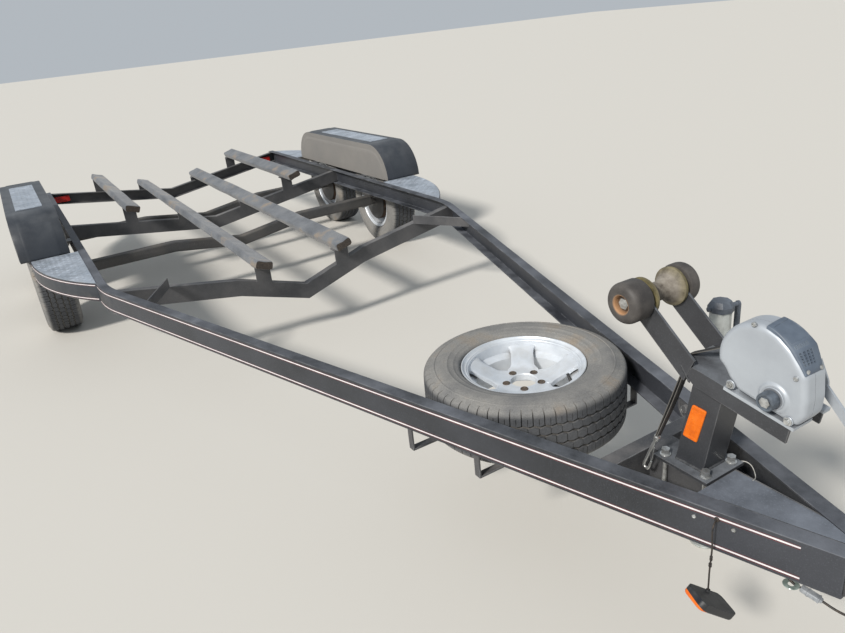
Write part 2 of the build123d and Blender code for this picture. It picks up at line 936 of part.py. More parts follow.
def stand_post():
    """Base plate and square post of the winch stand."""
    with BuildPart() as post:
        with BuildSketch(Plane.XY.offset(inner_top)):
            with Locations((plate_x, 0)):
                Rectangle(plate_length, plate_width)
                with GridLocations(2 * stud_offset_x, 2 * stud_offset_y, 2, 2):
                    Circle(stud_radius + running_gap, mode=Mode.SUBTRACT)
        extrude(amount=plate_thick)
        rear, front = -post_behind - post_depth / 2, -post_behind + post_depth / 2
        foot_rear, foot_front = rear * stand_s / stand_c, front * stand_s / stand_c
        top = head_height - arm_wall
        for width, inset, mode in ((post_width, 0.0, Mode.ADD), (post_width - 2 * post_wall, post_wall, Mode.SUBTRACT)):
            with BuildSketch(stand_side):
                with BuildLine():
                    Polyline(
                        (rear + inset, foot_rear),
                        (front - inset, foot_front),
                        (front - inset, top),
                        (rear + inset, top),
                        close=True,
                    )
                make_face()
            extrude(amount=width / 2, both=True, mode=mode)
    return post.part


def stand_head():
    """Deck plate, its two side bars and the wider bars that run back and up to the roller."""
    up_low = head_height - arm_height
    rise = radians(arm_rise)
    along, across = Vector(-cos(rise), sin(rise)), Vector(sin(rise), cos(rise))
    pin = Vector(-roller_back, roller_up)
    elbow = Vector(head_rear - arm_lap, head_height - arm_lap)
    low = (pin - elbow).dot(across) - arm_width_up / 2 - arm_pin_offset
    reach = (pin - elbow).dot(along) + arm_end
    base = elbow + across * low
    with BuildPart() as head:
        with BuildSketch(stand_side):
            with BuildLine():
                Polyline(
                    (head_rear, head_height - arm_wall),
                    (head_front, head_height - arm_wall),
                    (head_front, head_height),
                    (head_rear, head_height),
                    close=True,
                )
            make_face()
        extrude(amount=head_half_width, both=True)
        with BuildSketch(stand_side):
            with BuildLine():
                Polyline(
                    (deck_rear, head_height - arm_wall),
                    (head_rear, head_height - arm_wall),
                    (head_rear, head_height),
                    (deck_rear, head_height),
                    close=True,
                )
            make_face()
        extrude(amount=head_half_width - arm_wall - deck_gap, both=True)
        for side in (1, -1):
            bar_plane = stand_side.offset(-side * (head_half_width - arm_wall / 2))
            with BuildSketch(bar_plane):
                with BuildLine():
                    Polyline(
                        (head_front, up_low),
                        (head_front, head_height),
                        (head_rear, head_height),
                        (head_rear - arm_lap, up_low + arm_lap),
                        (head_rear + arm_lap, up_low),
                        close=True,
                    )
                make_face()
            extrude(amount=arm_wall / 2, both=True)
            with BuildSketch(bar_plane.offset(-side * arm_proud)) as bar:
                with BuildLine():
                    Polyline(
                        base + along * -arm_lap,
                        base + along * reach,
                        base + along * reach + across * arm_width_up,
                        base + across * arm_width_up,
                        close=True,
                    )
                make_face()
                far_corners = bar.vertices().sort_by(lambda v: Vector(v.X - pin.X, v.Y - pin.Y).dot(along))[-2:]
                fillet(far_corners, arm_end_radius)
                with Locations(pin):
                    Circle(pin_radius + running_gap, mode=Mode.SUBTRACT)
            extrude(amount=arm_wall / 2, both=True)
    return head.part


def stand_studs():
    """Four flanged bolts through the base plate and the clamp plate under the tongue tube."""
    clamp_top = inner_bottom
    with BuildPart() as studs:
        with BuildSketch(Plane.XY.offset(clamp_top - plate_thick)):
            with Locations((plate_x, 0)):
                Rectangle(plate_length, plate_width)
        extrude(amount=plate_thick)
        with Locations((plate_x, 0, 0)):
            with GridLocations(2 * stud_offset_x, 2 * stud_offset_y, 2, 2) as spots:
                stud_spots = spots.locations
        bottom = Plane.XY.offset(clamp_top - plate_thick - stud_below)
        with BuildSketch(bottom):
            with Locations(*stud_spots):
                Circle(stud_radius)
        extrude(amount=plate_top - bottom.origin.Z + 4.0)
        for base in (plate_top, clamp_top - plate_thick - flange_thick):
            with BuildSketch(Plane.XY.offset(base)):
                with Locations(*stud_spots):
                    Circle(flange_radius)
            extrude(amount=flange_thick)
        nuts = ((plate_top + flange_thick, nut_height), (clamp_top - plate_thick - flange_thick, -lower_nut_height))
        for base, height in nuts:
            with BuildSketch(Plane.XY.offset(base)):
                with Locations(*stud_spots):
                    RegularPolygon(nut_radius, 6)
            extrude(amount=height)
    return studs.part


roller_plane = Plane(origin=stand_point(-roller_back, roller_up), x_dir=(1, 0, 0), z_dir=(0, -1, 0))


def bow_roller():
    """Hourglass bow roller, bored for its pin."""
    half = head_half_width - arm_wall + arm_proud - roller_side_gap
    bore = pin_radius + running_gap
    with BuildPart() as roller:
        with BuildSketch(roller_plane * Plane.XZ):
            with BuildLine():
                Line((bore, -half), (roller_end_radius, -half))
                Line((roller_end_radius, -half), (roller_end_radius, roller_rim - half))
                ThreePointArc(
                    (roller_end_radius, roller_rim - half), (roller_waist, 0.0), (roller_end_radius, half - roller_rim)
                )
                Line((roller_end_radius, half - roller_rim), (roller_end_radius, half))
                Line((roller_end_radius, half), (bore, half))
                Line((bore, half), (bore, -half))
            make_face()
        revolve(axis=Axis(roller_plane.origin, roller_plane.z_dir))
    return roller.part


bell_start = head_half_width + arm_proud + running_gap
bell_ends = ((1, bell_start + right_bell_length), (-1, bell_start + left_bell_length))
pin_clear = 0.5


def roller_bells():
    """Rounded rubber end bells outside the arms, the left one shorter, each recessed for the bolt."""
    bore = pin_radius + running_gap
    crown = bell_radius - bell_round
    middle = crown + bell_round * sin(radians(45))
    with BuildPart() as bells:
        for side, bell_end in bell_ends:
            shoulder = bell_end - bell_round
            with BuildSketch(roller_plane * Plane.XZ):
                with BuildLine():
                    Polyline(
                        (bell_recess_radius, side * bell_end),
                        (bell_recess_radius, side * (bell_end - bell_recess)),
                        (bore, side * (bell_end - bell_recess)),
                        (bore, side * bell_start),
                        (bell_radius - bell_lip, side * bell_start),
                        (bell_radius, side * (bell_start + bell_lip)),
                        (bell_radius, side * shoulder),
                    )
                    ThreePointArc(
                        (bell_radius, side * shoulder),
                        (middle, side * (shoulder + bell_round * cos(radians(45)))),
                        (crown, side * bell_end),
                    )
                    Line((crown, side * bell_end), (bell_recess_radius, side * bell_end))
                make_face()
            revolve(axis=Axis(roller_plane.origin, roller_plane.z_dir))
    return bells.part


def roller_pin():
    """Roller bolt with a head and a nut, sunk in the bells' recesses."""
    right_end, left_end = (end - bell_recess + pin_clear for _, end in bell_ends)
    with BuildPart() as pin:
        with BuildSketch(roller_plane.offset(-left_end)):
            Circle(pin_radius)
        extrude(amount=left_end + right_end)
        for start in (-left_end - pin_head, right_end):
            with BuildSketch(roller_plane.offset(start)):
                RegularPolygon(pin_head_radius, 6)
            extrude(amount=pin_head)
    return pin.part


winch_side = stand_side.offset(-winch_near_y)
drum_centre = Vector(lobe_x, lobe_up - drum_below)
winch_outline = [
    (27.0, 317.5),
    (46.0, 297.0),
    (70.0, 281.0),
    (foot_front, 277.0),
    (224.0, 304.0),
    (237.0, 333.0),
    (235.0, 364.0),
    (152.0, 427.0),
    (lobe_x, lobe_up),
]


def winch_shape(near_y, grow):
    """Side outline of the gear housing at a distance from the centre line, grown or shrunk."""
    with BuildSketch(stand_side.offset(-near_y)) as shape:
        with Locations((lobe_x, lobe_up)):
            Circle(lobe_radius)
        with BuildLine():
            Polyline(*winch_outline, close=True)
        make_face()
        if grow:
            offset(amount=grow, kind=Kind.INTERSECTION)
    return shape.sketch


def winch_housing():
    """Gear housing with a raised contour on its near face, a vent cover over its front and a knob."""
    with BuildPart() as housing:
        add(extrude(winch_shape(winch_near_y, 0.0), amount=-housing_depth))
        fillet(housing.faces().sort_by(Axis.Y)[0].edges(), housing_round)
        add(extrude(winch_shape(winch_near_y, -contour_inset), amount=contour_proud))
        low, middle, high = (Vector(cos(radians(a)), sin(radians(a))) for a in vent_angles)
        lobe = Vector(lobe_x, lobe_up)
        with BuildSketch(stand_side.offset(-vent_near_y)):
            with BuildLine():
                ThreePointArc(lobe + low * vent_outer, lobe + middle * vent_outer, lobe + high * vent_outer)
                Line(lobe + high * vent_outer, lobe + high * vent_inner)
                ThreePointArc(lobe + high * vent_inner, lobe + middle * vent_inner, lobe + low * vent_inner)
                Line(lobe + low * vent_inner, lobe + low * vent_outer)
            make_face()
        extrude(amount=vent_near_y - vent_far_y)
        for radius, start, length in ((knob_boss_radius, 0.0, knob_boss), (knob_radius, knob_boss, knob_length)):
            with BuildSketch(stand_side.offset(-winch_near_y + start)):
                with Locations((crank_x, crank_up)):
                    Circle(radius)
            extrude(amount=length)
    return housing.part


def winch():
    """Winch: gear housing, drum axle, far side plate, feet on the deck's bars and its crank."""
    foot = [
        (foot_rear, head_height),
        (foot_front, head_height),
        (foot_front, head_height + foot_thick),
        (foot_rear, head_height + foot_thick),
    ]
    far_side = stand_side.offset(-far_plate_y)
    with BuildPart() as body:
        add(winch_housing())
        with BuildSketch(winch_side.offset(-housing_depth)):
            with Locations(drum_centre):
                Circle(drum_core_radius)
        extrude(amount=-(far_plate_y - winch_near_y - housing_depth))
        with BuildSketch(far_side):
            with Locations(drum_centre):
                Circle(far_plate_radius)
            with BuildLine():
                Polyline(
                    (foot_rear, head_height),
                    (foot_front - far_plate_front, head_height),
                    (foot_front - far_plate_front - far_plate_slope, crank_up + far_plate_over_crank),
                    (crank_x + far_plate_past_crank, lobe_up + far_plate_over_crank),
                    (foot_rear + far_plate_rear, lobe_up),
                    close=True,
                )
            make_face()
        extrude(amount=-far_plate_thick)
        with BuildSketch(winch_side):
            with BuildLine():
                Polyline(*foot, close=True)
            make_face()
        extrude(amount=-(far_plate_y - winch_near_y))
        with BuildSketch(far_side.offset(-far_plate_thick)):
            with Locations((crank_x, crank_up)):
                Circle(winch_arm_width / 2)
        extrude(amount=-winch_arm_gap)
        arm_tilt = degrees(atan2(-winch_arm_drop, winch_arm_x))
        arm_side = far_side.offset(-far_plate_thick - winch_arm_gap)
        with BuildSketch(arm_side):
            with Locations((crank_x + winch_arm_x / 2, crank_up - winch_arm_drop / 2)):
                SlotCenterToCenter(hypot(winch_arm_x, winch_arm_drop), winch_arm_width, rotation=arm_tilt)
        extrude(amount=-winch_arm_thick)
        with BuildSketch(arm_side.offset(-winch_arm_thick)):
            with Locations((crank_x + winch_arm_x, crank_up - winch_arm_drop)):
                Circle(winch_grip_radius)
        extrude(amount=-winch_grip_length)
    return body.part


strap_y = (winch_near_y + housing_depth + far_plate_y) / 2
strap_edge = Vector(deck_rear - strap_clear, head_height + strap_clear)
strap_reach = drum_centre - strap_edge
strap_rise = atan2(strap_reach.Y, strap_reach.X) + asin((strap_radius - strap_thick / 2) / strap_reach.length)
strap_leave = drum_centre + Vector(-sin(strap_rise), cos(strap_rise)) * (strap_radius - strap_thick / 2)
strap_turn = Vector(*stand_point(strap_edge.X, strap_edge.Y, strap_turn_y))
hook_top = Vector(stand_x - hook_behind, -hook_aside, hook_top_z)
hook_tip = hook_top + Vector(-hook_tip_back, 0, -hook_tip_drop)
hook_down = (hook_tip - hook_top).normalized()
hook_length = (hook_tip - hook_top).length


def strap_run(start, end, widths, thicknesses):
    """One straight run of webbing between two points, tapered from one section to the other."""
    along = (end - start).normalized()
    with BuildPart() as run:
        for place, width, thick in zip((start, end), widths, thicknesses):
            with BuildSketch(Plane(origin=place, x_dir=(0, 1, 0), z_dir=along)):
                Rectangle(width, thick)
        loft(ruled=True)
    return run.part


def winch_strap():
    """Webbing wound on the drum, back down to the deck's rear edge, over it and down to the hook."""
    leave = Vector(*stand_point(strap_leave.X, strap_leave.Y, strap_y + strap_leave_aside))
    with BuildPart() as webbing:
        with BuildSketch(stand_side.offset(-strap_y)):
            with Locations(drum_centre):
                Circle(strap_radius)
                Circle(drum_core_radius + running_gap, mode=Mode.SUBTRACT)
        extrude(amount=strap_width / 2, both=True)
        add(strap_run(leave, strap_turn, (strap_leave_width, strap_run_width), (strap_thick, strap_thick)))
        add(strap_run(strap_turn, hook_top, (strap_run_width, strap_end_width), (strap_thick, strap_end_thick)))
        with BuildSketch(Plane(origin=strap_turn, z_dir=(0, 1, 0))):
            Circle(strap_thick / 2)
        extrude(amount=strap_run_width / 2, both=True)
    return webbing.part


def snap_hook():
    """Zinc snap hook: swivel head against the strap's end, bent rod and spring gate."""
    flat = Plane(origin=hook_top, x_dir=hook_down, z_dir=(0, -1, 0))
    with BuildPart() as hook:
        with BuildSketch(Plane(origin=hook_top + hook_down * strap_end_thick / 2, z_dir=hook_down)):
            Circle(hook_head_radius)
        extrude(amount=hook_head)
        with BuildLine(flat) as bend:
            FilletPolyline(
                (hook_head, 0.0),
                (hook_length - hook_gap, 0.0),
                (hook_length, hook_gap / 2),
                (hook_length - hook_gap / 2, hook_gap),
                (hook_length - 2 * hook_gap, hook_gap),
                radius=hook_bend,
            )
        with BuildSketch(Plane(origin=bend.line @ 0, z_dir=bend.line % 0)):
            Circle(hook_rod)
        sweep(path=bend.line)
        with BuildLine(flat) as gate:
            Line((hook_length - 3 * hook_gap, 0.0), (hook_length - 2 * hook_gap, hook_gap))
        with BuildSketch(Plane(origin=gate.line @ 0, z_dir=gate.line % 0)):
            Circle(hook_gate)
        sweep(path=gate.line)
    return hook.part


jack_plane = Plane(
    origin=(jack_x, rail_y(jack_x), jack_pivot_z),
    x_dir=(cos(radians(rail_angle)), -sin(radians(rail_angle)), 0),
    z_dir=(-sin(radians(rail_angle)), -cos(radians(rail_angle)), 0),
)


jack_axis = Plane(
    origin=jack_plane.from_local_coords((jack_ahead, 0, -jack_standoff)),
    x_dir=jack_plane.x_dir,
    z_dir=jack_plane.z_dir,
)


def jack_bracket():
    """Pivot plate on the far rail's outer face, with the pivot spindle through the web to a disc inside."""
    with BuildPart() as mount:
        with BuildSketch(jack_plane.offset(-swivel_plate)):
            RectangleRounded(swivel_plate_length, swivel_plate_height, swivel_plate_corner)
        extrude(amount=swivel_plate)
        with BuildSketch(jack_plane.offset(-swivel_face)):
            Circle(swivel_radius)
        extrude(amount=swivel_face - swivel_plate)
        with BuildSketch(jack_plane.offset(rail_wall)):
            Circle(pivot_disc_radius)
        extrude(amount=pivot_disc_thick)
        with BuildSketch(jack_plane):
            Circle(spindle_hole - running_gap)
        extrude(amount=rail_wall + pivot_disc_thick + spindle_stub)
    return mount.part


def jack_tube():
    """Outer tube with its swivel collar and gear head."""
    centre = jack_axis
    up = jack_top_z - jack_pivot_z
    down = jack_pivot_z - jack_bottom_z
    inside = jack_leg_radius + running_gap
    with BuildPart() as tube:
        base = Plane(origin=centre.origin - Vector(0, 0, down), z_dir=(0, 0, 1))
        with BuildSketch(base):
            Circle(jack_tube_radius)
        extrude(amount=up + down - jack_cap_height)
        with BuildSketch(jack_plane.offset(-swivel_face - running_gap)):
            Circle(swivel_radius)
        extrude(amount=-collar_thick)
        with BuildSketch(jack_plane.offset(-swivel_face - running_gap - collar_thick)):
            with Locations((jack_ahead / 2, 0)):
                Rectangle(collar_length + jack_ahead, collar_height)
        extrude(amount=-2 * collar_thick)
        with BuildSketch(base):
            Circle(inside)
        extrude(amount=up + down - jack_cap_height, mode=Mode.SUBTRACT)
    return tube.part


def jack_cap():
    """Black faceted cap with the crank: shaft through it, arm and knob on the outer side."""
    centre = jack_axis.origin
    up = jack_top_z - jack_pivot_z
    shaft = centre + Vector(0, 0, up - jack_cap_height * crank_shaft_level)
    crank = Plane(origin=shaft, x_dir=(0, 0, -1), z_dir=-jack_plane.z_dir)
    with BuildPart() as cap:
        with BuildSketch(Plane(origin=centre + Vector(0, 0, up - jack_cap_height), z_dir=(0, 0, 1))):
            RegularPolygon(jack_cap_radius, jack_cap_sides)
        extrude(amount=jack_cap_height * jack_cap_waist)
        with BuildSketch(Plane(origin=centre + Vector(0, 0, up - jack_cap_height * jack_cap_waist), z_dir=(0, 0, 1))):
            RegularPolygon(jack_cap_radius, jack_cap_sides)
        extrude(amount=jack_cap_height * jack_cap_waist, taper=jack_cap_taper)
        with BuildSketch(crank.offset(-jack_cap_radius - crank_shaft_past)):
            Circle(crank_shaft_radius)
        extrude(amount=2 * jack_cap_radius + crank_shaft_past + crank_out + crank_arm_thick)
        with BuildSketch(crank.offset(jack_cap_radius + crank_out)):
            with Locations((crank_length / 2, 0)):
                SlotCenterToCenter(crank_length, crank_width)
        extrude(amount=crank_arm_thick)
        with BuildSketch(crank.offset(jack_cap_radius + crank_out + crank_arm_thick)):
            with Locations((crank_length, 0)):
                Circle(crank_knob_radius)
        extrude(amount=crank_knob_length)
    return cap.part


def jack_leg():
    """Inner leg with its round foot on the ground."""
    centre = jack_axis.origin
    with BuildPart() as leg:
        with BuildSketch(Plane(origin=(centre.X, centre.Y, 0), z_dir=(0, 0, 1))):
            Circle(jack_foot_radius)
        extrude(amount=jack_foot_thick)
        with BuildSketch(Plane(origin=(centre.X, centre.Y, jack_foot_thick), z_dir=(0, 0, 1))):
            Circle(jack_leg_radius)
        extrude(amount=jack_leg_top - jack_foot_thick)
    return leg.part


def marker(plane):
    """Marker lamp: housing with a domed lens rim, back toward the plane."""
    with BuildPart() as lamp:
        with BuildSketch(plane):
            RectangleRounded(lamp_length, lamp_height, lamp_corner)
        extrude(amount=lamp_thick)
        front = lamp.faces().sort_by(Axis(plane.origin, plane.z_dir))[-1]
        fillet(front.edges(), lamp_edge)
    return lamp.part


left_lamp_plane = Plane(
    origin=(left_lamp_x, rail_y(left_lamp_x), jack_pivot_z),
    x_dir=(cos(radians(rail_angle)), -sin(radians(rail_angle)), 0),
    z_dir=(sin(radians(rail_angle)), cos(radians(rail_angle)), 0),
)
out_x, out_y = sin(radians(rail_angle)), -cos(radians(rail_angle))


def wire_point(out, z):
    """A point of the hanging wire, measured out from the right rail's face."""
    return (wire_x + out * out_x, -rail_y(wire_x) + out * out_y, z)


wire_route = [
    wire_point(wire_start, wire_z),
    wire_point(15.3, wire_z),
    wire_point(23.8, wire_z - 8.5),
    wire_point(22.5, 470.0),
    wire_point(16.0, 438.0),
    wire_point(18.0, 408.0),
    wire_point(23.0, 376.0),
    wire_point(21.0, 346.0),
    wire_point(21.5, wire_end_z),
]


def corner_radii(route):
    """Arc radius at each inner point: 0.45 of the shorter run over the tangent of half the turn."""
    points = [Vector(*p) for p in route]
    radii = []
    for before, here, after in zip(points, points[1:], points[2:]):
        first, second = here - before, after - here
        turn = radians(first.get_angle(second))
        radii.append(0.45 * min(first.length, second.length) / tan(turn / 2))
    return radii


def cord(route, diameter):
    """Tube along straight runs joined by tangent arcs."""
    with BuildPart() as tube:
        with BuildLine() as path:
            FilletPolyline(*route, radius=corner_radii(route))
        with BuildSketch(Plane(origin=path.line @ 0, z_dir=path.line % 0)):
            Circle(diameter / 2)
        sweep(path=path.line)
    return tube.part


def grommet():
    """Rubber grommet where the wire leaves the rail."""
    face = Plane(origin=wire_point(0.0, wire_z), z_dir=(out_x, out_y, 0))
    with BuildPart() as ring:
        with BuildSketch(face):
            Circle(grommet_radius)
        extrude(amount=grommet_thick)
    return ring.part


def hanging_lamp():
    """Loose right lamp: hangs with its back up, where the wire comes down into a short boss."""
    end = Vector(*wire_route[-1])
    down = end - Vector(*wire_route[-2])
    hung = Plane(origin=end - Vector(0, 0, wire_tie_rise), x_dir=hanging_long, z_dir=hanging_lens)
    back = Plane(origin=hung.from_local_coords((-wire_tie_x, -wire_tie_y, 0)), x_dir=hung.x_dir, z_dir=hung.z_dir)
    with BuildPart() as lamp:
        add(marker(back))
        with BuildSketch(Plane(origin=end, z_dir=down)):
            Circle(wire_tie_radius)
        extrude(amount=wire_tie_rise + wire_tie_radius + 2.0)
    return lamp.part


def tail_lamps():
    """Tail lamps inside the rear cross member at both rails."""
    with BuildPart() as lamps:
        for side in (1, -1):
            with BuildSketch(Plane.YZ.offset(rear_x + cross_wall)):
                with Locations((side * (rail_half_width - tail_lamp_inset), tail_lamp_z)):
                    RectangleRounded(tail_lamp_length, tail_lamp_height, tail_lamp_corner)
            extrude(amount=tail_lamp_depth)
    return lamps.part


rail = make_rail()
with BuildPart() as far_rail:
    add(rail)
    with BuildSketch(jack_plane):
        Circle(spindle_hole)
    extrude(amount=rail_wall + 1.0, mode=Mode.SUBTRACT)
save(far_rail.part, "rail_left")
save(mirrored(rail, -1), "rail_right")

end_z = inner_top - 0.5
plain_v = [(0.0, end_z - cross_slope * web_inner), (web_inner, end_z)]
knee_z = end_z - front_slope_outer * (rail_half_width - front_knee_y)
front_end = rail_y(cross_front_x) - rail_wall / cos(radians(rail_angle)) - 0.1
deep_v = [(0.0, knee_z - front_slope_inner * front_knee_y), (front_knee_y, knee_z), (front_end, end_z)]
cross_member("cross_rear", rear_x, 1, plain_v, (bunk_inner_y, bunk_outer_y))
cross_member("cross_mid", cross_mid_x, -1, plain_v, (bunk_inner_y, bunk_outer_y))
cross_member("cross_front", cross_front_x, -1, deep_v, (bunk_inner_y,))

for side in (1, -1):
    save(bunk(bunk_inner_y, bunk_long, side, bunk_rear_x), f"bunk_inner_{side_name(side)}")
    save(bunk(bunk_outer_y, bunk_short, side, bunk_rear_x), f"bunk_outer_{side_name(side)}")

save(axle(axle_x), "axle_front")
save(axle(rear_axle_x), "axle_rear")
for station, place in ((axle_x, "front"), (rear_axle_x, "rear")):
    for side in (1, -1):
        wheel_plane = Plane(origin=(station, side * wheel_y, tyre_radius), x_dir=(1, 0, 0), z_dir=(0, side, 0))
        tag = f"{place}_{side_name(side)}"
        save(tyre(wheel_plane), f"tyre_{tag}")
        save(rim(wheel_plane), f"wheel_{tag}")
        save(hub(wheel_plane), f"hub_{tag}")

front_step_x = axle_x + fender_front_ahead
rear_step_x = axle_x - fender_rear_behind
for side in (1, -1):
    word = side_name(side)
    save(fender(side), f"fender_{word}")
    save(step_box(front_step_x, step_front_length, 1, side), f"step_front_{word}")
    save(step_box(rear_step_x, step_rear_length, -1, side), f"step_rear_{word}")
    save(tread_plates(side), f"treads_{word}")

spare_plane = Plane(origin=(spare_x, 0, spare_z), x_dir=(1, 0, 0), z_dir=(0, 0, 1))
save(tyre(spare_plane), "spare_tyre")
save(rim(spare_plane), "spare_wheel")
save(cradle(), "spare_cradle")
save(tongue_cross(), "tongue_cross")
save(tongue_tube(), "tongue_tube")
save(coupler(), "coupler")
save(stand_post(), "stand_post")
save(stand_head(), "stand_head")
save(stand_studs(), "stand_studs")
save(bow_roller(), "bow_roller")
save(roller_bells(), "roller_bells")
save(roller_pin(), "roller_pin")
save(winch(), "winch")
save(winch_strap(), "winch_strap")
save(snap_hook(), "snap_hook")
save(jack_bracket(), "jack_bracket")
save(jack_tube(), "jack_tube")
save(jack_cap(), "jack_cap")
save(jack_leg(), "jack_leg")
save(marker(left_lamp_plane), "marker_left")
save(hanging_lamp(), "marker_right")
save(grommet(), "wire_grommet")
save(cord(wire_route, wire_diameter), "marker_wire")
save(tail_lamps(), "tail_lamps")
print("wire radii", [round(r, 1) for r in corner_radii(wire_route)])
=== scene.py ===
import math
import random

import bmesh
import bpy
from mathutils import Matrix, Vector


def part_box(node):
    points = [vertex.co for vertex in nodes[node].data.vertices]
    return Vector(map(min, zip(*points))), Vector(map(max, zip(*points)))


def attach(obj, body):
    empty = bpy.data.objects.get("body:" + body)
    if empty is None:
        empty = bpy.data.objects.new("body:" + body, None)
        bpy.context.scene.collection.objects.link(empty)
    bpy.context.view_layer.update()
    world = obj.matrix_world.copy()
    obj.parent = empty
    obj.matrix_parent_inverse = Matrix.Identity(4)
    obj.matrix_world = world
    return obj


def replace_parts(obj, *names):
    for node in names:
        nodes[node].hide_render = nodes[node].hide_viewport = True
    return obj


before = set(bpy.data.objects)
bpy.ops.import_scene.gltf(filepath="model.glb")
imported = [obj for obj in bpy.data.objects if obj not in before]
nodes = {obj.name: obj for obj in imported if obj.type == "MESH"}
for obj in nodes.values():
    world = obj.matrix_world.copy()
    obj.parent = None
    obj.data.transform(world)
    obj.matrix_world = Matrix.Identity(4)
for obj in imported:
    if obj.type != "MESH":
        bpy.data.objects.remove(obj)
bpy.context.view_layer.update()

# View: the trailer is seen from its front right, at standing height, with a
# short lens that looks back over the tongue. The picture is a little tilted.
camera_data = bpy.data.cameras.new("camera")
camera_data.sensor_width = 36.0
camera_data.lens = 29.79
camera = bpy.data.objects.new("camera", camera_data)
scene = bpy.context.scene
scene.collection.objects.link(camera)
scene.camera = camera
view_yaw, view_pitch, view_roll = math.radians(151.03), math.radians(-23.18), -0.1081
ahead = Vector((
    math.cos(view_yaw) * math.cos(view_pitch),
    math.sin(view_yaw) * math.cos(view_pitch),
    math.sin(view_pitch),
))
right = ahead.cross(Vector((0, 0, 1))).normalized()
up = right.cross(ahead)
image_right = right * math.cos(view_roll) + up * math.sin(view_roll)
image_up = up * math.cos(view_roll) - right * math.sin(view_roll)
camera.matrix_world = Matrix((
    (image_right.x, image_up.x, -ahead.x, 3.3748),
    (image_right.y, image_up.y, -ahead.y, -1.1997),
    (image_right.z, image_up.z, -ahead.z, 1.55),
    (0, 0, 0, 1),
))
scene.view_settings.view_transform = "Standard"

# Floor and light: a plain pale floor, one broad soft lamp over the trailer's
# right side, where the sun stood, and an even surround that fills the shadows.


def new_material(name):
    """A material with only an output and a Principled shader in its tree."""
    material = bpy.data.materials.new(name)
    material.use_nodes = True
    tree = material.node_tree
    tree.nodes.clear()
    output = tree.nodes.new("ShaderNodeOutputMaterial")
    shader = tree.nodes.new("ShaderNodeBsdfPrincipled")
    tree.links.new(shader.outputs["BSDF"], output.inputs["Surface"])
    return material, tree, shader


floor_corners = [(60 * x, 60 * y, 0) for x, y in ((-1, -1), (1, -1), (1, 1), (-1, 1))]
floor_mesh = bpy.data.meshes.new("floor")
floor_mesh.from_pydata(floor_corners, [], [(0, 1, 2, 3)])
floor = bpy.data.objects.new("floor", floor_mesh)
scene.collection.objects.link(floor)
floor_material, _, floor_shader = new_material("pale_floor")
floor_shader.inputs["Base Color"].default_value = (0.60, 0.58, 0.54, 1)
floor_shader.inputs["Roughness"].default_value = 0.9
floor_shader.inputs["Specular IOR Level"].default_value = 0.1
floor_mesh.materials.append(floor_material)

world = bpy.data.worlds.new("surround")
scene.world = world
world.use_nodes = True
world.node_tree.nodes["Background"].inputs["Color"].default_value = (0.86, 0.93, 1.0, 1)
world.node_tree.nodes["Background"].inputs["Strength"].default_value = 0.52

key_light = bpy.data.lights.new("key_lamp", "SUN")
key_light.angle = math.radians(8.5)
key_light.energy = 3.75
key_light.color = (1.0, 0.96, 0.90)
key_lamp = bpy.data.objects.new("key_lamp", key_light)
key_lamp.rotation_euler = Vector((-0.27, 0.74, -0.62)).to_track_quat("-Z", "Y").to_euler()
scene.collection.objects.link(key_lamp)

# Loose wire: the right marker lamp has come off its rail and hangs on its own
# thin two core wire. The wire leaves the rail through a rubber grommet and
# has two tape wraps where it was joined.
rail_slope = 0.318945
rail_turn = math.atan(rail_slope)
rail_half = 0.990
bend_x = -0.099


def rail_side(x):
    """How far a rail's outer face is from the centre line, on its straight front run."""
    return rail_half - (x - bend_x) * rail_slope


def off_right_rail(x, out, z):
    """The point at height z that stands out from the right rail's outer face at station x."""
    return Vector((x + out * math.sin(rail_turn), -rail_side(x) - out * math.cos(rail_turn), z))


def feed(tree, value, socket):
    """Link a socket to an input, or set the input to a plain number or colour."""
    if isinstance(value, bpy.types.NodeSocket):
        tree.links.new(value, socket)
    else:
        socket.default_value = (*value, 1) if isinstance(value, tuple) else value


def colour_steps(tree, factor, stops):
    """A colour ramp driven by a factor, from (position, colour) stops."""
    ramp = tree.nodes.new("ShaderNodeValToRGB")
    while len(ramp.color_ramp.elements) < len(stops):
        ramp.color_ramp.elements.new(0.5)
    for element, (position, colour) in zip(ramp.color_ramp.elements, stops):
        element.position = position
        element.color = (*colour, 1)
    tree.links.new(factor, ramp.inputs["Fac"])
    return ramp.outputs["Color"]


def texture_place(tree):
    """Object coordinates, which are metres in the trailer's own frame."""
    return tree.nodes.new("ShaderNodeTexCoord").outputs["Object"]


def noise(tree, place, scale, detail=4.0, roughness=0.55):
    texture = tree.nodes.new("ShaderNodeTexNoise")
    feed(tree, scale, texture.inputs["Scale"])
    texture.inputs["Detail"].default_value = detail
    texture.inputs["Roughness"].default_value = roughness
    tree.links.new(place, texture.inputs["Vector"])
    return texture.outputs["Fac"]


def between(tree, value, low, high, new_low=0.0, new_high=1.0):
    """Map a value from one range to another, clamped."""
    span = tree.nodes.new("ShaderNodeMapRange")
    for label, number in (("From Min", low), ("From Max", high), ("To Min", new_low), ("To Max", new_high)):
        span.inputs[label].default_value = number
    tree.links.new(value, span.inputs["Value"])
    return span.outputs["Result"]


def raise_surface(tree, shader, height, distance, strength):
    """Bump the shader's normal by a height that varies over the surface."""
    bump = tree.nodes.new("ShaderNodeBump")
    bump.inputs["Distance"].default_value = distance
    bump.inputs["Strength"].default_value = strength
    tree.links.new(height, bump.inputs["Height"])
    tree.links.new(bump.outputs["Normal"], shader.inputs["Normal"])


def shade(tree, shader, colour, roughness):
    """Link what varies over the surface to the shader's colour and roughness."""
    tree.links.new(colour, shader.inputs["Base Color"])
    tree.links.new(roughness, shader.inputs["Roughness"])


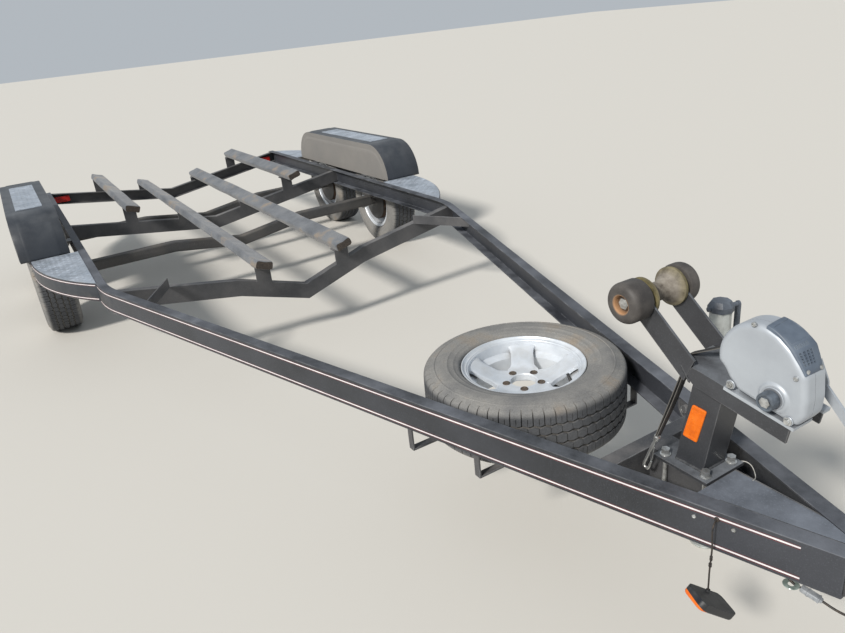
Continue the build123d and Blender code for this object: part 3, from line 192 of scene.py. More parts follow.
def clouded(name, cloud, stops, dull, bump=None, grain=None, span=(0.3, 0.7)):
    """A material whose colour and roughness follow one noise, with a bump from it or from a finer one.

    cloud and grain are a noise's scale, detail and roughness; dull is the roughness
    from the noise's low to its high side, and bump a distance and a strength."""
    material, tree, shader = new_material(name)
    place = texture_place(tree)
    tone = noise(tree, place, *cloud)
    shade(tree, shader, colour_steps(tree, tone, stops), between(tree, tone, *span, *dull))
    if bump:
        raise_surface(tree, shader, noise(tree, place, *grain) if grain else tone, *bump)
    return material, tree, shader


def cord_curve(name, line, radius, material):
    """A round cord on the chassis, along one smooth NURBS spline."""
    data = bpy.data.curves.new(name, "CURVE")
    data.dimensions = "3D"
    data.bevel_depth = radius
    data.bevel_resolution = 3
    data.resolution_u = 12
    spline = data.splines.new("NURBS")
    spline.points.add(len(line) - 1)
    for point, place in zip(spline.points, line):
        point.co = (*place, 1.0)
    spline.order_u = 3
    spline.use_endpoint_u = True
    data.materials.append(material)
    piece = bpy.data.objects.new(name, data)
    scene.collection.objects.link(piece)
    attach(piece, "chassis")
    return piece


def mesh_from(name, build, material, smooth=None, outward=True):
    """Turn a bmesh into a mesh with one material, smooth up to an angle in degrees."""
    if outward:
        bmesh.ops.recalc_face_normals(build, faces=build.faces)
    mesh = bpy.data.meshes.new(name)
    build.to_mesh(mesh)
    build.free()
    mesh.materials.append(material)
    if smooth is not None:
        for face in mesh.polygons:
            face.use_smooth = True
        mesh.set_sharp_from_angle(angle=math.radians(smooth))
    return mesh


def add_piece(name, mesh, body="chassis", middle=(0, 0, 0), turned=(0, 0, 0)):
    """Show a mesh as a piece that rides on a body."""
    piece = bpy.data.objects.new(name, mesh)
    piece.location = middle
    piece.rotation_euler = turned
    scene.collection.objects.link(piece)
    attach(piece, body)
    return piece


def add_mesh(name, build, material, body="chassis", smooth=None, outward=True):
    return add_piece(name, mesh_from(name, build, material, smooth, outward), body)


def ring_about(middle, first, second, radius, sides, start=0.0):
    """Points of a circle about a place, in the plane of two directions."""
    turns = [start + math.tau * k / sides for k in range(sides)]
    return [middle + (first * math.cos(turn) + second * math.sin(turn)) * radius for turn in turns]


def join_rows(build, rows, loop=False, around=True):
    """Skin rows of vertices with quads, round each row and from row to row."""
    count = len(rows[0])
    for one, other in zip(rows, rows[1:] + rows[:1] if loop else rows[1:]):
        for index in range(count if around else count - 1):
            following = (index + 1) % count
            build.faces.new((one[index], one[following], other[following], other[index]))


def sweep_ring(build, rings, loop=False):
    """Skin a list of equal rings of points, with ends unless it is a loop."""
    rows = [[build.verts.new(point) for point in ring] for ring in rings]
    join_rows(build, rows, loop)
    if not loop:
        build.faces.new(list(reversed(rows[0])))
        build.faces.new(rows[-1])


axis_x, axis_y = Vector((1, 0, 0)), Vector((0, 1, 0))
wire_station = 2.6242
wire_steps = (
    (3.3, 502), (15.3, 502), (23.8, 493.5), (22.5, 470), (16, 438), (18, 408), (23, 376), (21, 346), (21.5, 322)
)
wire_line = [off_right_rail(wire_station, out / 1000, height / 1000) for out, height in wire_steps]
wire_tones = ((0.35, (0.012, 0.012, 0.013)), (0.7, (0.06, 0.045, 0.035)))
wire_jacket = clouded("wire_jacket", (160.0,), wire_tones, (0.45, 0.7))[0]
lamp_wire = cord_curve("lamp_wire", wire_line, 0.002, wire_jacket)
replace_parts(lamp_wire, "marker_wire")
tape_tones = ((0.35, (0.010, 0.010, 0.011)), (0.7, (0.038, 0.030, 0.026)))
tape_wrap = clouded("tape_wrap", (210.0,), tape_tones, (0.35, 0.6), (0.0003, 0.5))[0]
wrap_build = bmesh.new()
for height, half, radius in ((0.4085, 0.0060, 0.0034), (0.3915, 0.0050, 0.0037)):
    spots = [(out / 1000, station / 1000) for out, station in wire_steps]
    for (out_one, high), (out_other, low) in zip(spots, spots[1:]):
        if low <= height <= high:
            out = out_one + (out_other - out_one) * (high - height) / (high - low)
    swells = ((-1, 0.62), (-0.85, 0.95), (-0.3, 1.0), (0.2, 0.92), (0.7, 1.0), (0.9, 0.93), (1, 0.62))
    sweep_ring(wrap_build, [
        ring_about(off_right_rail(wire_station, out, height + half * rise), axis_x, axis_y, radius * swell, 14)
        for rise, swell in swells
    ])
wire_wraps = add_mesh("wire_wraps", wrap_build, tape_wrap, smooth=50)

# Main rails: folded steel channels that open inward, in black wrinkle finish
# powder paint gone slate grey with sun and road dust. Each bends in toward
# the tongue in one long curve.


def effect_group(name, inputs, outputs):
    """An empty shader node group with number sockets, and the sockets at its inner ends."""
    group = bpy.data.node_groups.new(name, "ShaderNodeTree")
    for label, value in inputs:
        group.interface.new_socket(label, in_out="INPUT", socket_type="NodeSocketFloat").default_value = value
    for label in outputs:
        group.interface.new_socket(label, in_out="OUTPUT", socket_type="NodeSocketFloat")
    return group, group.nodes.new("NodeGroupInput").outputs, group.nodes.new("NodeGroupOutput").inputs


def figure(tree, operation, one, other=0.0):
    """One sum on one or two values."""
    node = tree.nodes.new("ShaderNodeMath")
    node.operation = operation
    feed(tree, one, node.inputs[0])
    feed(tree, other, node.inputs[1])
    return node.outputs["Value"]


def dot_product(tree, one, other):
    node = tree.nodes.new("ShaderNodeVectorMath")
    node.operation = "DOT_PRODUCT"
    tree.links.new(one, node.inputs[0])
    if isinstance(other, Vector):
        node.inputs[1].default_value = other
    else:
        tree.links.new(other, node.inputs[1])
    return node.outputs["Value"]


def face_normal(tree):
    return tree.nodes.new("ShaderNodeNewGeometry").outputs["Normal"]


def apart(tree, vector):
    """The X, Y and Z outputs of a vector."""
    axes = tree.nodes.new("ShaderNodeSeparateXYZ")
    tree.links.new(vector, axes.inputs["Vector"])
    return axes.outputs


corner_wear, wear_in, wear_out = effect_group("corner_wear", (("Radius", 0.004), ("Patchiness", 14.0)), ("Mask",))
rounded = corner_wear.nodes.new("ShaderNodeBevel")
rounded.samples = 4
corner_wear.links.new(wear_in["Radius"], rounded.inputs["Radius"])
wear_facing = dot_product(corner_wear, rounded.outputs["Normal"], face_normal(corner_wear))
wear_noise = noise(corner_wear, texture_place(corner_wear), wear_in["Patchiness"], 5.0, 0.5)
wear_turn, wear_patch = between(corner_wear, wear_facing, 0.995, 0.90), between(corner_wear, wear_noise, 0.42, 0.62)
corner_wear.links.new(figure(corner_wear, "MULTIPLY", wear_turn, wear_patch), wear_out["Mask"])

settled_dust, dust_in, dust_out = effect_group("settled_dust", (("Patch Scale", 6.0), ("Everywhere", 0.25)), ("Mask",))
dust_up = between(settled_dust, apart(settled_dust, face_normal(settled_dust))["Z"], 0.15, 0.95)
dust_lift = figure(settled_dust, "MAXIMUM", dust_up, dust_in["Everywhere"])
dust_noise = noise(settled_dust, texture_place(settled_dust), dust_in["Patch Scale"], 8.0, 0.65)
dust_patch = between(settled_dust, dust_noise, 0.36, 0.68)
settled_dust.links.new(figure(settled_dust, "MULTIPLY", dust_lift, dust_patch), dust_out["Mask"])

wrinkle_grain, grain_in, grain_out = effect_group("wrinkle_grain", (("Grain Scale", 700.0),), ("Height", "Specks"))
grain_place = texture_place(wrinkle_grain)
grain_cells = wrinkle_grain.nodes.new("ShaderNodeTexVoronoi")
grain_cells.feature = "SMOOTH_F1"
wrinkle_grain.links.new(grain_place, grain_cells.inputs["Vector"])
wrinkle_grain.links.new(grain_in["Grain Scale"], grain_cells.inputs["Scale"])
wrinkle_grain.links.new(grain_cells.outputs["Distance"], grain_out["Height"])
speck_scale = figure(wrinkle_grain, "MULTIPLY", grain_in["Grain Scale"], 0.45)
speck_noise = noise(wrinkle_grain, grain_place, speck_scale, 2.0, 0.8)
wrinkle_grain.links.new(between(wrinkle_grain, speck_noise, 0.56, 0.70), grain_out["Specks"])


def place_group(tree, group, **values):
    """An effect group's outputs in a material's tree, with its own values."""
    placed = tree.nodes.new("ShaderNodeGroup")
    placed.node_tree = group
    for name, value in values.items():
        placed.inputs[name.replace("_", " ").title()].default_value = value
    return placed.outputs


def blend_colour(tree, factor, low, high, blend="MIX"):
    """Mix two colours, each a socket or a plain colour, by a factor socket or number."""
    mix = tree.nodes.new("ShaderNodeMix")
    mix.data_type = "RGBA"
    mix.blend_type = blend
    for value, socket in ((factor, mix.inputs[0]), (low, mix.inputs[6]), (high, mix.inputs[7])):
        feed(tree, value, socket)
    return mix.outputs[2]


def veil(tree, mask, share, under, over, low=0.0, high=1.0):
    """Lay one colour over another where a mask goes from low to high, up to a share."""
    return blend_colour(tree, between(tree, mask, low, high, 0.0, share), under, over)


def wrinkle_paint(name, deep, lit, dust, grain=700.0, dust_share=0.55, wear=(0.30, 0.31, 0.33), everywhere=0.25):
    """Black wrinkle powder paint with pale specks, patches of dust and rubbed corners."""
    material, tree, shader = new_material(name)
    grains = place_group(tree, wrinkle_grain, grain_scale=grain)
    cloud = noise(tree, texture_place(tree), 2.3, 6.0)
    tone = colour_steps(tree, cloud, ((0.38, deep), (0.66, lit)))
    speckled = veil(tree, grains["Specks"], 0.55, tone, tuple(min(1.0, 2.1 * part) for part in lit))
    dusting = place_group(tree, settled_dust, patch_scale=5.0, everywhere=everywhere)
    dusty = veil(tree, dusting["Mask"], dust_share, speckled, dust)
    rubbed = place_group(tree, corner_wear, radius=0.0035, patchiness=16.0)
    worn = veil(tree, rubbed["Mask"], 0.6, dusty, wear)
    shade(tree, shader, worn, between(tree, dusting["Mask"], 0.0, 0.7, 0.42, 0.72))
    raise_surface(tree, shader, grains["Height"], 0.0006, 0.55)
    return material


def finish_node(name, material, radius=None, angle=32.0):
    """Give a node of the fixed model its material, and round its sharp corners by a small bevel."""
    node = nodes[name]
    node.data.materials.clear()
    node.data.materials.append(material)
    if radius is None:
        return
    weld = node.modifiers.new("weld", "WELD")
    weld.merge_threshold = 0.00002
    merge = node.modifiers.new("merge", "DECIMATE")
    merge.decimate_type = "DISSOLVE"
    merge.angle_limit = math.radians(1.0)
    round_off = node.modifiers.new("round_off", "BEVEL")
    round_off.width = radius
    round_off.segments = 2
    round_off.limit_method = "ANGLE"
    round_off.angle_limit = math.radians(angle)
    round_off.harden_normals = True
    round_off.use_clamp_overlap = True


rail_tones = (0.018, 0.020, 0.024), (0.036, 0.039, 0.048), (0.215, 0.232, 0.268)
frame_black = wrinkle_paint("frame_black", *rail_tones, everywhere=0.10)
for rail in ("rail_left", "rail_right"):
    finish_node(rail, frame_black, 0.002)

# Pinstripes: a cut vinyl tape along the top and the bottom of each rail's
# outer face, white between two thin dark red lines.
vinyl_white = ((0.35, (0.66, 0.60, 0.62)), (0.62, (0.80, 0.76, 0.76)))
vinyl_red = ((0.35, (0.09, 0.022, 0.026)), (0.62, (0.17, 0.04, 0.045)))
stripe_white, stripe_red = [
    clouded(name, (22.0, 6.0), stops, (0.5, 0.32), (0.0002, 0.3))[0]
    for name, stops in (("stripe_white", vinyl_white), ("stripe_red", vinyl_red))
]
bend_radius = 0.700
bend_tangent = bend_radius * math.tan(rail_turn / 2)


def rail_outline_y(x):
    """The outer face's distance from the centre line: straight, through the bend's arc, then in to the tongue."""
    start = bend_x - bend_tangent
    if x <= start:
        return rail_half
    if x >= bend_x + bend_tangent * math.cos(rail_turn):
        return rail_side(x)
    return rail_half - bend_radius + math.sqrt(max(0.0, bend_radius ** 2 - (x - start) ** 2))


tape_proud, tape_edge = 0.00025, 0.0002


def tape_strip(name, side, stations, outline, low_z, high_z, material):
    """A thin tape that follows a face whose distance from the centre line is an outline of x."""
    strip = bmesh.new()
    section = ((-0.0005, low_z), (tape_proud, low_z + tape_edge), (tape_proud, high_z - tape_edge), (-0.0005, high_z))
    rows = []
    for x in stations:
        before, after = max(x - 0.001, stations[0]), min(x + 0.001, stations[-1])
        turn = math.atan((outline(before) - outline(after)) / (after - before))
        rows.append([
            strip.verts.new((x + out * math.sin(turn), side * (outline(x) + out * math.cos(turn)), z))
            for out, z in section
        ])
    join_rows(strip, rows, around=False)
    for row in (rows[0], rows[-1]):
        strip.faces.new(row)
    return add_mesh(name, strip, material)


def pinstripe(label, side, stations, outline, middle):
    """One white line between two thin red ones."""
    for line, low, high, material in (
        ("white", -0.0021, 0.0021, stripe_white),
        ("over", 0.0033, 0.0046, stripe_red),
        ("under", -0.0052, -0.0036, stripe_red),
    ):
        name = "stripe_%s_%s" % (line, label)
        tape_strip(name, side, stations, outline, middle + low, middle + high, material)


for side, label in ((-1, "right"), (1, "left")):
    for row, middle, last_x in (("top", 0.5060, 2.780), ("bottom", 0.4302, 2.785)):
        stations = [-3.10 + 0.145 * step for step in range(20)] + [-0.24 + 0.02 * step for step in range(1, 19)]
        stations += [stations[-1] + (last_x - stations[-1]) * step / 12 for step in range(1, 13)]
        pinstripe("%s_%s" % (row, label), side, stations, rail_outline_y, middle)

# Cross members and tongue: folded channels in a shallow V, a box tube for the
# tongue and the flat bars under the spare, all welded up and painted with the
# rails. They hold more dust than the rails do.
member_tones = (0.028, 0.030, 0.035), (0.056, 0.058, 0.064), (0.230, 0.220, 0.215)
member_black = wrinkle_paint("member_black", *member_tones, dust_share=0.66, everywhere=0.38)
finish_node("tongue_tube", member_black)
for member in ("cross_rear", "cross_mid", "cross_front", "tongue_cross", "spare_cradle"):
    finish_node(member, member_black, 0.0015)

weld_tones = ((0.4, (0.030, 0.032, 0.036)), (0.7, (0.085, 0.088, 0.095)))
weld_metal = clouded("weld_bead", (90.0, 5.0), weld_tones, (0.5, 0.7), (0.0008, 0.6), (420.0,))[0]


def weld_run(build, start, end, across, size, seed):
    """A rippled fillet weld from start to end, with across pointing out of the corner."""
    start, end, across = Vector(start), Vector(end), Vector(across).normalized()
    side = (end - start).normalized().cross(across).normalized()
    steps = max(4, int((end - start).length / 0.0035))
    chance = random.Random(seed)
    rings = []
    for step in range(steps + 1):
        swell = size * (0.82 + 0.22 * (step % 2) + 0.12 * chance.random())
        if step in (0, steps):
            swell *= 0.4
        rings.append(ring_about(start.lerp(end, step / steps), across * 0.8, side, swell, 8))
    sweep_ring(build, rings)


member_welds = bmesh.new()
for side in (1, -1):
    for seed, (station, low, high) in enumerate((
        (-3.103, 0.43, 0.508),
        (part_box("cross_mid")[1][0] - 0.001, 0.435, 0.515),
        (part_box("cross_front")[0][0] + 0.002, 0.435, 0.515),
    )):
        inner = rail_outline_y(station) - 0.0045
        corner = (station, side * inner)
        weld_run(member_welds, (*corner, low), (*corner, high), (1, -side, 0), 0.0035, 40 + seed)
add_mesh("member_welds", member_welds, weld_metal, smooth=60, outward=False)

# Tongue plate: a thin flat cover welded over the tongue tube and out to the
# right rail, ahead of the winch stand. Its paint is thick with sharp grit.
grit_tones = (0.030, 0.034, 0.042), (0.075, 0.084, 0.102), (0.215, 0.240, 0.285)
tongue_grit = wrinkle_paint("tongue_grit", *grit_tones, grain=420.0, dust_share=0.72, everywhere=0.2)
plate_low, plate_high, flange_reach = 0.5170, 0.5203, 0.0435
plate_edge = [(x, flange_reach - rail_outline_y(x)) for x in (2.5545, 2.62, 2.68, 2.74, 2.80, 2.850)]
plate_edge += [(2.850, 0.004), (2.826, 0.0115), (2.78, 0.0262), (2.766, 0.0300), (2.61, 0.0300), (2.5545, 0.0290)]
plate_build = bmesh.new()
plate_middle = Vector((2.68, -0.012))
plate_rings = []
for inset, z in ((0.0, plate_low), (0.0, plate_high - 0.0008), (0.0008, plate_high)):
    spots = [Vector(spot) for spot in plate_edge]
    plate_rings.append([(*(spot - (spot - plate_middle).normalized() * inset), z) for spot in spots])
sweep_ring(plate_build, plate_rings)
add_mesh("tongue_plate", plate_build, tongue_grit, smooth=30)
plate_welds = bmesh.new()
weld_start, weld_end = [(x, flange_reach - rail_outline_y(x), plate_high) for x in (2.600, 2.845)]
weld_run(plate_welds, weld_start, weld_end, (0, 0, 1), 0.0016, 31)
weld_run(plate_welds, (2.700, 0.0300, 0.5185), (2.640, 0.0300, 0.5185), (0, 1, 1), 0.0022, 32)
add_mesh("plate_welds", plate_welds, weld_metal, smooth=60, outward=False)

# Bunks: long boards wrapped in marine carpet, tilted to the hull. The loops
# are flattened along the top, bleached grey, with tan worn patches, and the
# cut ends are dark and frayed.
bunk_carpet, carpet_tree, carpet_shader = new_material("bunk_carpet")
carpet_place = texture_place(carpet_tree)
carpet_cloud = noise(carpet_tree, carpet_place, 4.5, 7.0, 0.62)
carpet_stain = noise(carpet_tree, carpet_place, 9.0, 4.0, 0.5)
carpet_loops = noise(carpet_tree, carpet_place, 520.0, 3.0, 0.7)
carpet_tones = ((0.34, (0.070, 0.080, 0.095)), (0.52, (0.128, 0.140, 0.160)), (0.70, (0.190, 0.195, 0.200)))
carpet_base = colour_steps(carpet_tree, carpet_cloud, carpet_tones)
carpet_worn = veil(carpet_tree, carpet_stain, 0.75, carpet_base, (0.235, 0.185, 0.135), 0.58, 0.70)
carpet_axes = apart(carpet_tree, face_normal(carpet_tree))
# Painted shade: faces turned down are darkened, as if in shade under the boards.
carpet_below = between(carpet_tree, carpet_axes["Z"], 0.1, -0.5)
carpet_under_shaded = veil(carpet_tree, carpet_below, 0.7, carpet_worn, (0.055, 0.055, 0.060))
carpet_tips = veil(carpet_tree, carpet_loops, 1.0, (0.6, 0.6, 0.6), (1.35, 1.33, 1.3), 0.38, 0.64)
carpet_shaded = blend_colour(carpet_tree, 1.0, carpet_under_shaded, carpet_tips, "MULTIPLY")
carpet_grain = noise(carpet_tree, carpet_place, 130.0, 5.0, 0.75)
carpet_cut = colour_steps(carpet_tree, carpet_grain, ((0.38, (0.018, 0.014, 0.012)), (0.62, (0.075, 0.058, 0.045))))
carpet_end = figure(carpet_tree, "ABSOLUTE", carpet_axes["X"])
carpet_colour = veil(carpet_tree, carpet_end, 1.0, carpet_shaded, carpet_cut, 0.6, 0.85)
shade(carpet_tree, carpet_shader, carpet_colour, between(carpet_tree, carpet_loops, 0.3, 0.7, 0.98, 0.86))
carpet_shader.inputs["Specular IOR Level"].default_value = 0.15
carpet_shader.inputs["Sheen Weight"].default_value = 0.25
carpet_shader.inputs["Sheen Roughness"].default_value = 0.6
raise_surface(carpet_tree, carpet_shader, carpet_loops, 0.0016, 0.8)

bunk_width, bunk_thick, bunk_corner = 0.095, 0.045, 0.012
bunk_tilt = math.radians(17.7)
end_offsets = (0.0, 0.0015, 0.004, 0.009)


def carpeted_board(name, seed):
    """A carpet wrapped board along X, softly uneven, with pulled in frayed ends."""
    low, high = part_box(name)
    tilt = bunk_tilt * (1 if low[1] + high[1] > 0 else -1)
    centre_y, centre_z = (low[1] + high[1]) / 2, (low[2] + high[2]) / 2
    across = Vector((0, math.cos(tilt), math.sin(tilt)))
    up_board = Vector((0, -math.sin(tilt), math.cos(tilt)))
    half_u, half_v = bunk_width / 2 - bunk_corner, bunk_thick / 2 - bunk_corner
    outline = []
    for corner_u, corner_v, first in ((1, 1, 0), (-1, 1, 90), (-1, -1, 180), (1, -1, 270)):
        for turn in (math.radians(first + 22.5 * step) for step in range(5)):
            u, v = corner_u * half_u + bunk_corner * math.cos(turn), corner_v * half_v + bunk_corner * math.sin(turn)
            outline.append((u, v))
    dense = []
    for (u0, v0), (u1, v1) in zip(outline, outline[1:] + outline[:1]):
        pieces = max(1, int(math.hypot(u1 - u0, v1 - v0) / 0.010))
        dense += [(u0 + (u1 - u0) * k / pieces, v0 + (v1 - v0) * k / pieces) for k in range(pieces)]
    chance = random.Random(seed)
    waves = [(chance.uniform(5, 18), chance.uniform(0, 6.3), chance.uniform(0.0002, 0.0006)) for _ in range(5)]
    length = high[0] - low[0]
    body_steps = int((length - 0.018) / 0.012)
    stations = [low[0] + offset for offset in end_offsets]
    stations += [low[0] + 0.009 + (length - 0.018) * k / body_steps for k in range(1, body_steps)]
    stations += [high[0] - offset for offset in reversed(end_offsets)]
    build = bmesh.new()
    rings = []
    for x in stations:
        from_end = min(x - low[0], high[0] - x)
        pull = 0.0032 * max(0.0, 1 - from_end / 0.009) ** 2
        ring = []
        for index, (u, v) in enumerate(dense):
            rough = sum(depth * math.sin(pace * x + phase + 0.9 * index) for pace, phase, depth in waves) - 0.0009
            rough += chance.uniform(-0.0004, 0.0004)
            scale = 1 + (rough - pull) / math.hypot(u, v)
            ring.append(Vector((x, centre_y, centre_z)) + across * u * scale + up_board * v * scale)
        rings.append(ring)
    sweep_ring(build, rings)
    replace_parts(add_mesh("carpet_" + name, build, bunk_carpet, smooth=50), name)


for seed, bunk in enumerate(("bunk_inner_left", "bunk_inner_right", "bunk_outer_left", "bunk_outer_right")):
    carpeted_board(bunk, 11 + seed)

# Axles, arms and brake drums: bent square tube painted black, with torsion
# arms, and cast drums that have gone brown with rust and road dirt.
axle_tones = (0.026, 0.027, 0.029), (0.052, 0.053, 0.056), (0.155, 0.135, 0.110)
axle_black = wrinkle_paint(
    "axle_black", *axle_tones, grain=520.0, dust_share=0.6, wear=(0.14, 0.10, 0.075), everywhere=0.35
)
for axle in ("axle_front", "axle_rear"):
    finish_node(axle, axle_black, 0.0012)

iron_tones = ((0.36, (0.030, 0.024, 0.020)), (0.52, (0.075, 0.048, 0.032)), (0.68, (0.145, 0.085, 0.050)))
drum_iron, _, iron_shader = clouded(
    "rusty_iron", (26.0, 8.0, 0.65), iron_tones, (0.62, 0.9), (0.0009, 0.7), (240.0, 4.0, 0.7), span=(0.35, 0.7)
)
iron_shader.inputs["Metallic"].default_value = 0.25
wheel_places = ("front_left", "front_right", "rear_left", "rear_right")
for place_name in wheel_places:
    finish_node("hub_" + place_name, drum_iron, 0.0012)

# Tyres: trailer radials with a five rib tread. Zigzag grooves part the ribs,
# and every pitch has cross cuts in the ribs and a notch down the shoulder.
# Dry dust lies in the grooves and greys the sidewalls.


def painted_mask(tree, name):
    """A number kept on the mesh's points."""
    mask = tree.nodes.new("ShaderNodeAttribute")
    mask.attribute_name = name
    return mask.outputs["Fac"]


tyre_rubber, rubber_tree, rubber_shader = new_material("tyre_rubber")
rubber_place = texture_place(rubber_tree)
rubber_cloud = noise(rubber_tree, rubber_place, 7.0, 8.0, 0.62)
rubber_fine = noise(rubber_tree, rubber_place, 260.0, 4.0, 0.7)
rubber_base = colour_steps(rubber_tree, rubber_cloud, ((0.36, (0.058, 0.062, 0.069)), (0.66, (0.100, 0.104, 0.112))))
aged_tones = ((0.34, (0.160, 0.160, 0.160)), (0.54, (0.225, 0.220, 0.210)), (0.70, (0.245, 0.210, 0.172)))
rubber_aged = colour_steps(rubber_tree, rubber_cloud, aged_tones)
rubber_sides = blend_colour(rubber_tree, painted_mask(rubber_tree, "wall"), rubber_base, rubber_aged)
rubber_dust = veil(rubber_tree, painted_mask(rubber_tree, "groove"), 0.60, rubber_sides, (0.165, 0.152, 0.135), 0.05)
rubber_grain = veil(rubber_tree, rubber_fine, 1.0, (0.82, 0.82, 0.82), (1.15, 1.15, 1.15), 0.35, 0.65)
rubber_colour = blend_colour(rubber_tree, 1.0, rubber_dust, rubber_grain, "MULTIPLY")
shade(rubber_tree, rubber_shader, rubber_colour, between(rubber_tree, rubber_cloud, 0.3, 0.7, 0.72, 0.92))
rubber_shader.inputs["Specular IOR Level"].default_value = 0.3
raise_surface(rubber_tree, rubber_shader, rubber_fine, 0.0005, 0.5)

tyre_pitches = 62
first_cut, second_cut = (0.015, 0.085), (0.508, 0.552)
pitch_marks = (0.0, *first_cut, 0.10, 0.27, 0.44, 0.50, *second_cut, 0.56, 0.72, 0.86)
groove_middles = (-0.0455, -0.0165, 0.0165, 0.0455)
groove_half, groove_slope, groove_depth = 0.0042, 0.0009, 0.0065
shoulder_start, tyre_radius, crown_drop = 0.0715, 0.3150, 0.0016


def tread_rows():
    """Rows across the tread: place, whether it is a groove's floor, and how the zigzag moves it."""
    rows = [(-0.031, 0, 0), (0.0, 0, 0), (0.031, 0, 0)]
    for number, middle in enumerate(groove_middles):
        swing = 1 if number % 2 else -1
        for side in (-1, 1):
            rows += [(middle + side * groove_half, 0, swing), (middle + side * (groove_half - groove_slope), 1, swing)]
    for side in (1, -1):
        rows += [(side * reach, 0, 0) for reach in (0.058, 0.066, shoulder_start, 0.0765, 0.0815, 0.0865, 0.0905)]
    return sorted(rows)


def tread_radius(across):
    """The tyre's outer radius at a place across it, over a rounded shoulder."""
    reach = abs(across)
    if reach <= shoulder_start:
        return tyre_radius - crown_drop * (reach / shoulder_start) ** 2
    drop = (reach - shoulder_start) / 0.019
    return tyre_radius - crown_drop - 0.0205 * (1 - math.sqrt(max(0.0, 1 - min(1.0, drop) ** 2)))


def tread_sunk(across, floor_row, mark):
    """How deep the tread is cut: its grooves, the cross cuts of the ribs and the shoulder notches."""
    if floor_row:
        return groove_depth
    rib = sum(1 for middle in groove_middles if across > middle)
    if rib in (0, 4) and abs(across) > 0.049:
        if mark in first_cut:
            return 0.0058 if abs(across) < 0.088 else 0.0035
        return 0.0035 if mark in second_cut and 0.052 < abs(across) < 0.07 else 0.0
    if rib in (1, 3):
        return 0.0050 if mark in second_cut else 0.0
    return 0.0040 if mark in first_cut else 0.0


wall_profile = (
    (0.0905, 0.2930), (0.0925, 0.2885), (0.0945, 0.2840), (0.0952, 0.2815), (0.0972, 0.2800), (0.0974, 0.2775),
    (0.0962, 0.2760), (0.0982, 0.2700), (0.0993, 0.2620), (0.0997, 0.2540), (0.0998, 0.2480), (0.0992, 0.2410),
    (0.0995, 0.2398), (0.0993, 0.2372), (0.0982, 0.2360), (0.0970, 0.2290), (0.0952, 0.2215), (0.0955, 0.2200),
    (0.0948, 0.2170), (0.0938, 0.2160), (0.0925, 0.2110), (0.0918, 0.2080), (0.0908, 0.2040), (0.0885, 0.2010),
    (0.0850, 0.1985), (0.0800, 0.1970), (0.0755, 0.1960), (0.0755, 0.1800),
)

tyre_build = bmesh.new()
groove_layer = tyre_build.verts.layers.float.new("groove")
wall_layer = tyre_build.verts.layers.float.new("wall")
tread_columns = []
for pitch in range(tyre_pitches):
    for mark in pitch_marks:
        turn = math.tau * (pitch + mark) / tyre_pitches
        column = []
        for across, floor_row, swing in tread_rows():
            sunk = tread_sunk(across, floor_row, mark)
            radius = tread_radius(across) - sunk
            place = across + swing * 0.0026 * (4 * abs(mark - 0.5) - 1)
            vertex = tyre_build.verts.new((radius * math.cos(turn), place, radius * math.sin(turn)))
            vertex[groove_layer] = min(1.0, sunk / groove_depth)
            vertex[wall_layer] = max(0.0, min(1.0, (abs(across) - 0.070) / 0.016))
            column.append(vertex)
        tread_columns.append(column)
join_rows(tyre_build, tread_columns, loop=True, around=False)
wall_steps = 180
inner_edges = []
for side in (1, -1):
    wall_columns = []
    for turn in (math.tau * step / wall_steps for step in range(wall_steps)):
        column = [
            tyre_build.verts.new((radius * math.cos(turn), side * across, radius * math.sin(turn)))
            for across, radius in wall_profile
        ]
        for vertex in column:
            vertex[wall_layer] = 1.0
        wall_columns.append(column)
    join_rows(tyre_build, wall_columns, loop=True, around=False)
    inner_edges.append([column[-1] for column in wall_columns])
join_rows(tyre_build, inner_edges)
tyre_mesh = mesh_from("radial_tyre", tyre_build, tyre_rubber, 38)
upright = math.radians(90)


def set_on_wheel(name, mesh, node_name, body, turned, replaced=True):
    """Place a mesh made about the Y axis on a wheel's own axis."""
    middle = [(one + other) / 2 for one, other in zip(*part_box(node_name))]
    piece = add_piece(name, mesh, body, middle, turned)
    if replaced:
        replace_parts(piece, node_name)


for number, place_name in enumerate(wheel_places):
    name, tyre_node, body = "radial_" + place_name, "tyre_" + place_name, "running_" + place_name
    set_on_wheel(name, tyre_mesh, tyre_node, body, (0, math.pi / 2 * number, 0))
set_on_wheel("radial_spare", tyre_mesh, "spare_tyre", "chassis", (upright, 0, 0.02))

# Wheels: cast alloy discs with five broad dished spokes, painted silver, with
# a machined lip. Painted shade darkens their corners. The spare's stud seats are
# grimy, and their middles are dark discs of painted shade over the stud holes.


def openness(tree, distance):
    """How open the surface is over a distance: 1 on a flat face, less in a corner."""
    node = tree.nodes.new("ShaderNodeAmbientOcclusion")
    node.samples = 8
    node.inputs["Distance"].default_value = distance
    return node.outputs["AO"]


wheel_silver, silver_tree, silver_shader = new_material("wheel_silver")
silver_place = texture_place(silver_tree)
silver_cloud = noise(silver_tree, silver_place, 14.0, 6.0)
silver_base = colour_steps(silver_tree, silver_cloud, ((0.36, (0.58, 0.62, 0.67)), (0.66, (0.70, 0.735, 0.78))))
silver_film = place_group(silver_tree, settled_dust, patch_scale=18.0, everywhere=0.3)
silver_dusty = veil(silver_tree, silver_film["Mask"], 0.35, silver_base, (0.42, 0.39, 0.34), 0.2)
# Painted shade: the silver is darkened where the surface is closed in, in its corners.
silver_corner_shaded = veil(silver_tree, openness(silver_tree, 0.03), 0.55, silver_dusty, (0.14, 0.12, 0.10), 0.75, 0.35)
shade(silver_tree, silver_shader, silver_corner_shaded, between(silver_tree, silver_cloud, 0.3, 0.7, 0.34, 0.48))
silver_shader.inputs["Metallic"].default_value = 0.35
raise_surface(silver_tree, silver_shader, noise(silver_tree, silver_place, 900.0, 2.0), 0.0002, 0.25)


